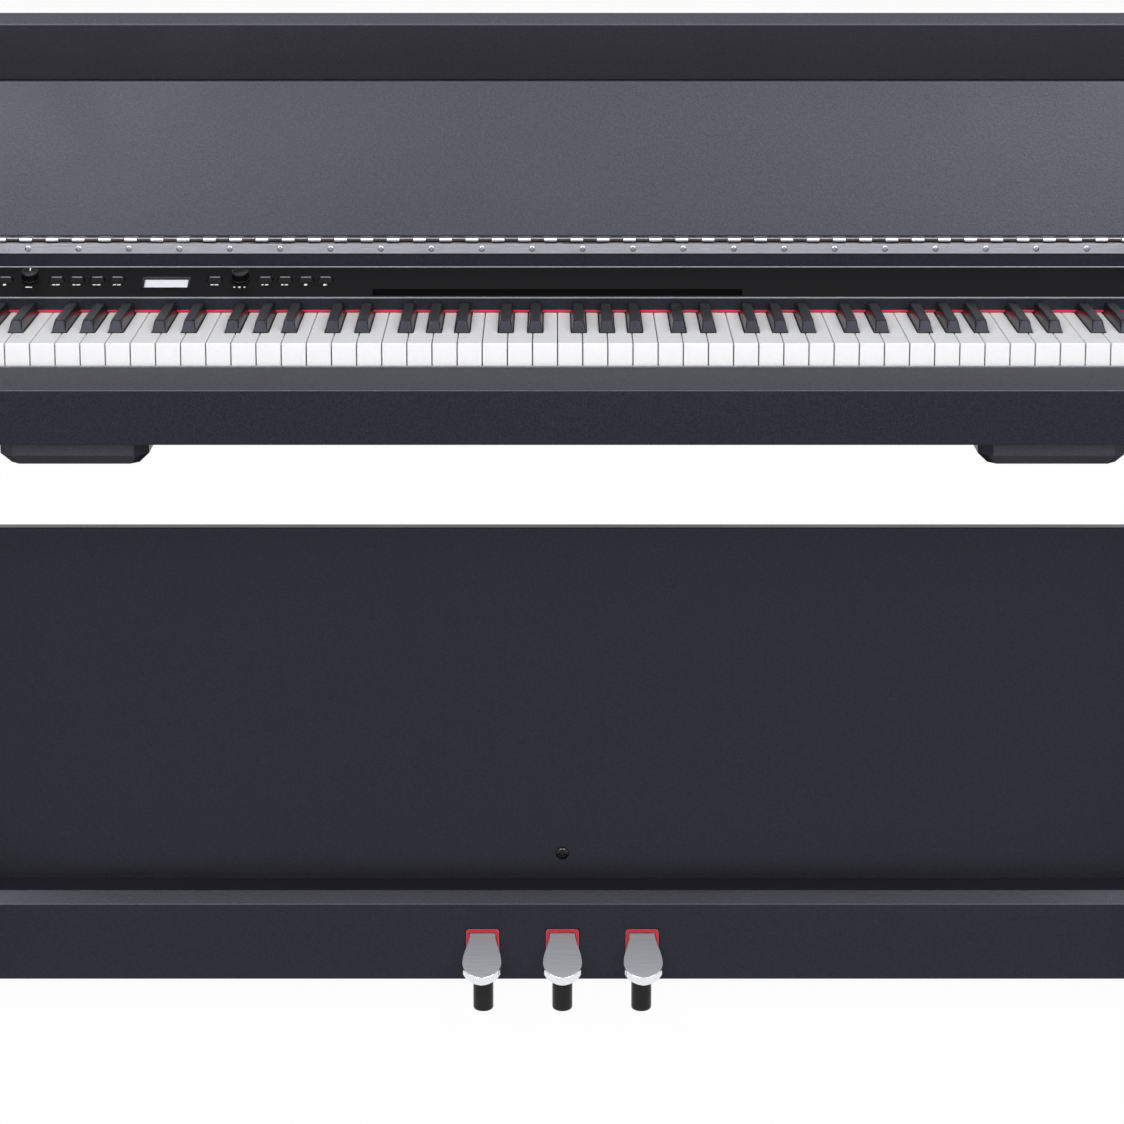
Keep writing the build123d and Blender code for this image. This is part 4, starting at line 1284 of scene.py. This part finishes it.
@dataclass
class ControlPanel:
    """The sloping moulding behind the keys, with its buttons, knobs, window and printed marks.

    On its face x runs to the right, v up the slope, and w out of the face.

    Attributes:
        u: front edge of the face.
        strip_z: lower edge of the upright strip in front.
        edge_z: height of the face's front edge.
        back_u: back edge of the face.
        back_z: its height.
        ends: left and right end of the moulding.
        rear_highlight: reach of the grey strip on its back edge that paints a highlight, forwards,
            backwards, down and up.
        front_highlight: the same for the grey strip on its front edge, also a painted highlight.
        fascia: front, back and top of the upright strip, from that edge.
        control_v: middle of a button's base.
        knob_v: centre of a knob.
        base: width and length of a button's base.
        ridge: width and length of its narrow top.
        lean: how far its top lies up the slope from its base.
        levels: height of each ring of a button, and its share of the way from base to ridge.
        light: half width, half length, bottom and top of the pale strip on a button's ridge, a
            painted highlight.
        knob_profile: radius, height and depth of the grooves, from the skirt to the dish.
        flutes: grooves round a knob.
        mark_drop: from a button's middle down to its mark.
        dots_drop: from the select knob's centre down to its marks.
        ink: thickness of the printed marks.
        frame_sides: the window frame's bars, to the left, right, bottom and top.
        frame_lap: how far they cover the window.
        button_x: centre of each button.
        knob_x: centre of each knob.
    """

    u: float = 185.0
    strip_z: float = 770.7
    edge_z: float = 783.4
    back_u: float = 239.0
    back_z: float = 803.3
    ends: tuple[float, float] = (-618.0, 607.0)
    rear_highlight: tuple[float, float, float, float] = (1.4, 0.8, 0.3, 1.3)
    front_highlight: tuple[float, float, float, float] = (0.9, 0.8, 1.5, 0.25)
    fascia: tuple[float, float, float] = (-0.5, 0.3, -1.4)
    control_v: float = 31.9
    knob_v: float = 32.5
    base: tuple[float, float] = (15.0, 8.0)
    ridge: tuple[float, float] = (11.4, 3.0)
    lean: float = 1.6
    levels: tuple[tuple[float, float], ...] = (
        (-3.0, 0.0), (0.0, 0.0), (2.6, 0.87), (2.9, 0.97), (3.0, 1.12),
    )
    light: tuple[float, float, float, float] = (5.0, 0.9, 2.8, 3.1)
    knob_profile: tuple[tuple[float, float, float], ...] = (
        (8.2, 0.5, 0.0), (8.5, 0.8, 0.0), (8.5, 2.0, 0.0), (8.45, 2.3, 0.7),
        (8.4, 8.9, 0.7), (8.2, 9.3, 0.5), (7.9, 9.7, 0.0), (7.5, 9.9, 0.0),
        (7.1, 10.0, 0.0), (6.5, 9.8, 0.0), (3.0, 9.5, 0.0), (0.6, 9.5, 0.0),
    )
    flutes: int = 16
    mark_drop: float = 8.2
    dots_drop: float = 13.5
    ink: float = 0.12
    frame_sides: tuple[float, float, float, float] = (2.4, 1.6, 1.4, 2.6)
    frame_lap: float = 0.4
    button_x: dict[str, float] = field(
        default_factory=lambda: {
            "power": -549.5,
            "function_1": -499.0,
            "function_2": -479.0,
            "function_3": -459.0,
            "function_4": -439.0,
            "menu": -343.0,
            "part_1": -293.4,
            "part_2": -274.0,
            "record": -253.2,
            "play": -234.0,
        }
    )
    knob_x: dict[str, float] = field(default_factory=lambda: {"volume": -525.0, "select": -318.0})

    def axes(self) -> Axes:
        """Work out the axes of the panel's face.

        Returns:
            Axes from the middle of its front edge, turned by the slope from edge to edge.
        """
        run, climb = self.back_u - self.u, self.back_z - self.edge_z
        c, s = run / math.hypot(run, climb), climb / math.hypot(run, climb)
        return Axes((0, FRONT + self.u, self.edge_z), (1, 0, 0), (0, c, s), (0, -s, c))

    def button(self, x: float) -> Shape:
        """Make a button.

        Args:
            x: its centre.

        Returns:
            Rounded rings that shrink from the base to a narrow ridge, over a stem.
        """
        width, length = self.base
        top_width, top_length = self.ridge
        rings = []
        for w, part in self.levels:
            half_x = (width + (top_width - width) * part) / 2
            half_v = (length + (top_length - length) * part) / 2
            v = self.control_v + self.lean * min(part, 1.0)
            corners = [
                (x - half_x, v - half_v),
                (x + half_x, v - half_v),
                (x + half_x, v + half_v),
                (x - half_x, v + half_v),
            ]
            rings.append(np.insert(rounded(corners, 0.8), 2, w, axis=1))
        return loft(self.axes().place(np.array(rings)))

    def painted_highlight_strip(self, x: float) -> Shape:
        """Make the pale strip on a button's ridge, a painted highlight.

        Args:
            x: the button's centre.

        Returns:
            A thin box that sits in the ridge's top.
        """
        half_x, half_v, low, high = self.light
        v = self.control_v + self.lean
        across, along = (x - half_x, x + half_x), (v - half_v, v + half_v)
        return block(across, along, (low, high), self.axes(), 0.1, 0.4)

    def knob(self, x: float) -> Shape:
        """Make a fluted knob.

        Args:
            x: its centre.

        Returns:
            Rings of radius R - d (1 - |cos(n a / 2)|^3), with n flutes of depth d.
        """
        sides = self.flutes * 8
        ring = circle(1.0, sides)
        angle = np.linspace(0.0, 2 * math.pi, sides, endpoint=False)
        groove = 1.0 - np.abs(np.cos(self.flutes * angle / 2)) ** 3
        radius, height, depth = np.array(self.knob_profile).T
        r = radius[:, None] - depth[:, None] * groove
        levels = np.broadcast_to(height[:, None], r.shape)
        rings = np.insert(r[:, :, None] * ring, 2, levels, axis=2)
        return loft(moved(self.axes(), x, self.knob_v).place(rings))

    def pointer(self, x: float) -> Shape:
        """The white line on top of a knob."""
        place = moved(self.axes(), x, self.knob_v)
        return block((-0.6, 0.6), (2.2, 7.2), (9.45, 9.98), place, 0.1, 0.2)

    def dash(self, x: float, v: float, half: float, height: float = 0.9) -> Shape:
        """A printed bar round (x, v)."""
        across, along = (x - half, x + half), (v - height, v + height)
        return block(across, along, (0.0, self.ink), self.axes(), 0.02, 0.1)

    def dot(self, x: float, v: float, radius: float) -> Shape:
        """A printed disc round (x, v)."""
        return lathe([(radius, 0.0), (radius, self.ink)], moved(self.axes(), x, v), 20)

    def marks(self) -> list[Shape]:
        """Print plain marks in front of the controls.

        Returns:
            Dots, dashes and a triangle under the buttons, and dots under the select knob.
        """
        made = []
        v = self.control_v - self.mark_drop
        for name, x in self.button_x.items():
            if name in ("record", "power"):
                made.append(self.dot(x, v, 1.7))
            elif name == "play":
                triangle = np.array([(x - 1.6, v - 2.4), (x + 2.2, v), (x - 1.6, v + 2.4)])
                made.append(prism(triangle, 0.0, self.ink, self.axes(), 0.02, 1))
            elif name.startswith("part"):
                made += [self.dot(x - 2.2, v, 1.2), self.dash(x + 1.8, v, 1.6)]
            else:
                made += [self.dash(x - 2.2, v, 1.5), self.dash(x + 2.0, v, 1.9)]
        dots_v = self.knob_v - self.dots_drop
        for offset, radius in ((-5.0, 1.0), (0.0, 1.3), (5.0, 1.0)):
            made.append(self.dot(self.knob_x["select"] + offset, dots_v, radius))
        made.append(self.dash(self.knob_x["volume"], dots_v, 3.2, 0.8))
        return made

    def window_frame(self) -> Shape:
        """Frame the window with four dark bars, the upper and left ones broader.

        Returns:
            Bars round the window's outer face, which is found in its CAD mesh.
        """
        mesh = frame["nodes"]["display"].data
        points = np.empty(len(mesh.vertices) * 3)
        mesh.vertices.foreach_get("co", points)
        axes = self.axes()
        local = points.reshape(-1, 3) / MM - np.array(axes.origin)
        across, climb, out = (local @ np.array(axis) for axis in (axes.right, axes.up, axes.out))
        face = out > out.max() - 0.3
        x0, x1 = across[face].min(), across[face].max()
        v0, v1 = climb[face].min(), climb[face].max()
        left, right, bottom, top = self.frame_sides
        wide, tall, lap = (x0 - left, x1 + right), (v0 - bottom, v1 + top), self.frame_lap
        bars = (
            (wide, (v1 - lap, tall[1])),
            (wide, (tall[0], v0 + lap)),
            ((wide[0], x0 + lap), tall),
            ((x1 - lap, wide[1]), tall),
        )
        return joined([block(x, v, (-0.4, 0.7), axes, 0.1, 0.3) for x, v in bars])

    def build(self, materials: Materials) -> None:
        """Build the moulding with its two grey beads, painted highlights along its edges, then
        everything that sits on it.

        Args:
            materials: the finishes by name.
        """
        make_piece("window_frame", self.window_frame(), "cabinet", materials["control"])
        softened_copy("control_panel", 0.7, "cabinet", materials["panel"])
        u, z = self.u, self.edge_z
        # Grey strips along the back and front edges: painted highlights.
        highlight_lip = bead(self.back_u, self.back_z, self.rear_highlight, self.ends, 0.8)
        make_piece("panel_rear_painted_highlight", highlight_lip, "cabinet", materials["painted_highlight"])
        edge = bead(u, z, self.front_highlight, self.ends, 0.8)
        make_piece("panel_front_painted_highlight", edge, "cabinet", materials["painted_highlight"])
        fore, aft, top = self.fascia
        strip = block((u + fore, u + aft), (self.strip_z, z + top), self.ends, SIDEWAYS, 0.1, 0.3)
        make_piece("panel_fascia", strip, "cabinet", materials["foil"])
        for name, x in self.button_x.items():
            node = f"button_{name}"
            stand_in(node, self.button(x), node, materials["panel"])
            # The pale strip on each button's ridge is a painted highlight.
            make_piece(f"{node}_strip", self.painted_highlight_strip(x), node, materials["painted_highlight"])
        for name, x in self.knob_x.items():
            node = f"{name}_knob"
            stand_in(node, self.knob(x), node, materials["control"])
        pointer = self.pointer(self.knob_x["volume"])
        make_piece("volume_pointer", pointer, "volume_knob", materials["ink"])
        make_piece("panel_marks", joined(self.marks()), "cabinet", materials["ink"])


# ------------------------------------------------------------------ pedals and feet


@dataclass
class Pedals:
    """Three pedals with felt frames round their necks, and the feet under their box.

    Attributes:
        pitch: from pedal to pedal.
        tip_u: u of the tips.
        tip_z: height of their tops.
        box_u: front face of the pedal box.
        box_z: height of the pedals' tops there.
        arch: how far the top's arch rises over a straight line, times four.
        back_u: back ends of the pedals.
        thickness: thickness of a pedal.
        neck: width of the neck.
        widest: width of the head.
        neck_u: where the neck begins.
        edge: rounding of a pedal's long edges.
        felt_outer: half width, bottom, top and corner radius of a felt frame.
        felt_inner: the same for its opening.
        felt_depth: how far a felt stands proud, and how far it reaches into the box.
        foot_u: centres of the feet.
        foot_radius: radius of a foot.
        foot_height: height of the pedal box over the floor.
        foot_rim: rounding of a foot's lower rim.
        collar: height and step of the collar under the box.
    """

    pitch: float = 83.4
    tip_u: float = 198.0
    tip_z: float = 69.7
    box_u: float = 266.0
    box_z: float = 91.8
    arch: float = 10.4
    back_u: float = 303.5
    thickness: float = 8.4
    neck: float = 27.4
    widest: float = 41.0
    neck_u: float = 263.0
    edge: float = 1.8
    felt_outer: tuple[float, float, float, float] = (17.2, 67.5, 95.8, 4.0)
    felt_inner: tuple[float, float, float, float] = (14.3, 70.4, 92.9, 2.4)
    felt_depth: tuple[float, float] = (1.5, -15.0)
    foot_u: float = 285.0
    foot_radius: float = 10.65
    foot_height: float = 40.5
    foot_rim: float = 3.0
    collar: tuple[float, float] = (8.0, 0.6)

    def half_width(self, u: Array) -> Array:
        """Work out the plan of a pedal.

        Args:
            u: stations along it.

        Returns:
            Half widths: a half circle at the tip, then a smooth step t^2 (3 - 2 t) to the neck.
        """
        radius = self.widest / 2
        inside = np.clip((self.tip_u + radius - u) / radius, 0.0, 1.0)
        head = radius * np.sqrt(np.maximum(1.0 - inside**2, 0.0))
        t = np.clip((u - self.tip_u - radius) / (self.neck_u - self.tip_u - radius), 0.0, 1.0)
        blend = t * t * (3 - 2 * t)
        return head + (self.neck / 2 - radius) * blend

    def top(self, u: Array) -> Array:
        """Height of the top: a straight climb plus an arch a t (1 - t), then level."""
        t = np.clip((u - self.tip_u) / (self.box_u - self.tip_u), 0.0, 1.0)
        return self.tip_z + (self.box_z - self.tip_z) * t + self.arch * t * (1 - t)

    def pedal(self, x: float) -> Shape:
        """Make a pedal.

        Args:
            x: its centre.

        Returns:
            Rounded sections carried from the tip to the back end.
        """
        radius = self.widest / 2
        swing = np.linspace(0.06, 1.0, 16) * math.pi / 2
        nose = self.tip_u + radius * (1 - np.cos(swing))
        rest = np.linspace(self.tip_u + radius + 2.0, self.back_u, 22)
        stations = np.concatenate([nose, rest])
        rings = []
        for u, half, top in zip(stations, self.half_width(stations), self.top(stations)):
            low = top - self.thickness
            corners = [(x - half, low), (x + half, low), (x + half, top), (x - half, top)]
            rings.append(ring_at(rounded(corners, self.edge, 4), u))
        return loft(PLAN.place(np.array(rings)[::-1]))

    def felt_frame(self, x: float) -> Shape:
        """Make the felt lining round a neck.

        Args:
            x: its centre.

        Returns:
            A frame: its outline and its opening in turn, carried from the box to the front.
        """
        outer, inner = (
            rounded([(-half, low), (half, low), (half, high), (-half, high)], radius, 5)
            for half, low, high, radius in (self.felt_outer, self.felt_inner)
        )
        proud, depth = self.felt_depth
        loops = [
            (outer, depth),
            (outer, proud - 0.7),
            (inset(outer, 0.4), proud),
            (inset(inner, -0.4), proud),
            (inner, proud - 0.7),
            (inner, depth),
            (outer, depth),
        ]
        rings = np.array([np.insert(loop, 2, level, axis=1) for loop, level in loops])
        rows, columns = rings.shape[:2]
        axes = moved(facing(self.box_u), x, 0.0)
        return Shape(axes.place(rings).reshape(-1, 3), grid_quads(rows, columns))

    def foot(self, x: float) -> Shape:
        """Make a round foot.

        Args:
            x: its centre.

        Returns:
            A turned profile with a rounded lower rim, and a narrower collar under the box.
        """
        r, h, rim = self.foot_radius, self.foot_height, self.foot_rim
        collar, step = self.collar
        turn = np.linspace(0.0, math.pi / 2, 5)
        profile = [(r - rim * (1 - math.sin(t)), rim * (1 - math.cos(t))) for t in turn]
        profile += [(r, h - collar), (r - step, h - collar + step), (r - step, h)]
        return lathe(profile, moved(PLAN, x, self.foot_u))

    def build(self, materials: Materials) -> None:
        """Build pedals, felts and feet from left to right.

        Args:
            materials: the finishes by name.
        """
        places = (-self.pitch, 0.0, self.pitch)
        for name, x in zip(("left", "middle", "right"), places):
            node = f"pedal_{name}"
            pedal = stand_in(node, self.pedal(x), node, materials["pedal"])
            refinish(
                pedal,
                materials["chrome"],
                lambda normal, centre: (normal[:, 2] < 0.6) & (centre[:, 1] < FRONT + self.neck_u),
            )
        felts = joined([self.felt_frame(x) for x in places])
        make_piece("pedal_felts", felts, "cabinet", materials["felt"], ("pedal_bushes",))
        feet = joined([self.foot(x) for x in places])
        stand_in("support_feet", feet, "cabinet", materials["foot"])


# ------------------------------------------------------------------ studio


@dataclass
class Studio:
    """A pale floor and surround, soft lamps at both sides and overhead, and the camera.

    Attributes:
        camera: its place, in millimetres.
        pitch: degrees that it looks down.
        lens: focal length.
        sensor: width of the sensor.
        shift: the lens's shift, as shares of the sensor's width.
        floor: colour of the floor.
        reach: from the middle of the floor to its edges, in metres.
        fill: strength of the surround as a light.
        backdrop_share: how much of the floor the camera sees as plain white.
        target: the point that every lamp looks at, in metres.
        lamps: name, place, size and power of each lamp, in metres and watts.
    """

    camera: tuple[float, float, float] = (-9.6, -3190.0, 1379.8)
    pitch: float = 12.27
    lens: float = 106.1
    sensor: float = 36.0
    shift: tuple[float, float] = (0.0078, -0.15)
    floor: str = "#e9e9ea"
    reach: float = 12.0
    fill: float = 0.1
    backdrop_share: float = 0.97
    target: tuple[float, float, float] = (0.0, 0.0, 0.6)
    lamps: tuple[tuple[str, tuple[float, float, float], float, float], ...] = (
        ("front_softbox", (0.0, -4.6, 2.9), 2.4, 14.0),
        ("front_left_softbox", (-1.9, -4.6, 2.9), 1.8, 93.0),
        ("front_right_softbox", (1.9, -4.6, 2.9), 1.8, 93.0),
        ("overhead_left_softbox", (-1.5, -1.2, 3.2), 1.6, 30.0),
        ("overhead_right_softbox", (1.5, -1.2, 3.2), 1.6, 30.0),
        ("overhead_softbox", (0.0, -1.8, 3.4), 2.4, 40.0),
        ("back_left_softbox", (-2.4, 3.4, 2.2), 1.8, 45.0),
        ("back_right_softbox", (2.4, 3.4, 2.2), 1.8, 45.0),
    )

    def seen_directly(self, tree: bpy.types.NodeTree) -> bpy.types.NodeSocket:
        """Tell what is seen from what is lit.

        Args:
            tree: the node tree that it is for.

        Returns:
            1 for camera, mirror and glass rays, and 0 for light on the object.
        """
        rays = add_node(tree, "ShaderNodeLightPath").outputs
        mirrored = math_node(tree, "MAXIMUM", rays["Is Glossy Ray"], rays["Is Transmission Ray"])
        return math_node(tree, "MAXIMUM", rays["Is Camera Ray"], mirrored)

    def white_to_camera(self, name: str, colour: str) -> bpy.types.Material:
        """Make a matt pale finish that the camera, mirrors and glass see as plain white.

        Args:
            name: name of the material.
            colour: its colour under the lamps, as sRGB hex.

        Returns:
            A mix of a matt surface and a white glow.
        """
        made = bpy.data.materials.new(name)
        tree = blank_tree(made)
        seen = self.seen_directly(tree)
        matt = add_node(tree, "ShaderNodeBsdfDiffuse", {"Color": linear(colour)})
        white = add_node(tree, "ShaderNodeEmission", {"Color": linear("#ffffff"), "Strength": 1.0})
        share = math_node(tree, "MULTIPLY", seen, self.backdrop_share)
        mixed = add_node(
            tree,
            "ShaderNodeMixShader",
            {0: share, 1: matt.outputs["BSDF"], 2: white.outputs["Emission"]},
        )
        add_node(tree, "ShaderNodeOutputMaterial", {"Surface": mixed.outputs["Shader"]})
        return made

    def ground(self) -> None:
        """Lay a wide level floor under the piano."""
        mesh = bpy.data.meshes.new("floor")
        reach = self.reach
        corners = [(-reach, -reach, 0), (reach, -reach, 0), (reach, reach, 0), (-reach, reach, 0)]
        mesh.from_pydata(corners, [], [(0, 1, 2, 3)])
        mesh.materials.append(self.white_to_camera("studio_floor", self.floor))
        floor = add_object("floor", mesh)

    def world(self) -> None:
        """Set a surround that the camera sees as white, and that lights the object dimly."""
        world = bpy.data.worlds.new("studio")
        tree = blank_tree(world)
        strength = add_node(
            tree,
            "ShaderNodeMapRange",
            {"Value": self.seen_directly(tree), "To Min": self.fill, "To Max": 1.0},
        )
        sky = add_node(
            tree,
            "ShaderNodeBackground",
            {"Color": linear("#ffffff"), "Strength": strength.outputs["Result"]},
        )
        add_node(tree, "ShaderNodeOutputWorld", {"Surface": sky.outputs["Background"]})
        bpy.context.scene.world = world

    def lamp(
        self, name: str, place: tuple[float, float, float], size: float, watts: float
    ) -> None:
        """Hang a square soft lamp that looks at the middle of the piano.

        Args:
            name: its name.
            place: its middle, in metres.
            size: length of a side, in metres.
            watts: its power.
        """
        data = bpy.data.lights.new(name, "AREA")
        data.shape = "SQUARE"
        data.size = size
        data.energy = watts
        lamp = add_object(name, data)
        lamp.location = place
        towards = Vector(self.target) - Vector(place)
        lamp.rotation_euler = towards.to_track_quat("-Z", "Y").to_euler()

    def build(self) -> None:
        """Set up floor, surround, lamps and camera."""
        self.ground()
        self.world()
        for lamp in self.lamps:
            self.lamp(*lamp)
        data = bpy.data.cameras.new("camera")
        data.lens = self.lens
        data.sensor_width = self.sensor
        data.shift_x, data.shift_y = self.shift
        camera = add_object("camera", data)
        camera.location = [value * MM for value in self.camera]
        camera.rotation_euler = (math.radians(90.0 - self.pitch), 0.0, 0.0)
        scene = bpy.context.scene
        scene.camera = camera
        scene.view_settings.view_transform = "Standard"


def main() -> None:
    """Dress the frame, then build every assembly in order."""
    logging.basicConfig(level=logging.INFO, format="%(name)s: %(message)s")
    materials = {key: finish.material() for key, finish in FINISHES.items()}
    dress_frame(materials)
    for assembly in (Cabinet, Lid, Keyboard, PianoHinge, Fasteners, ControlPanel, Pedals):
        assembly().build(materials)
    Studio().build()


if __name__ == "__main__":
    main()
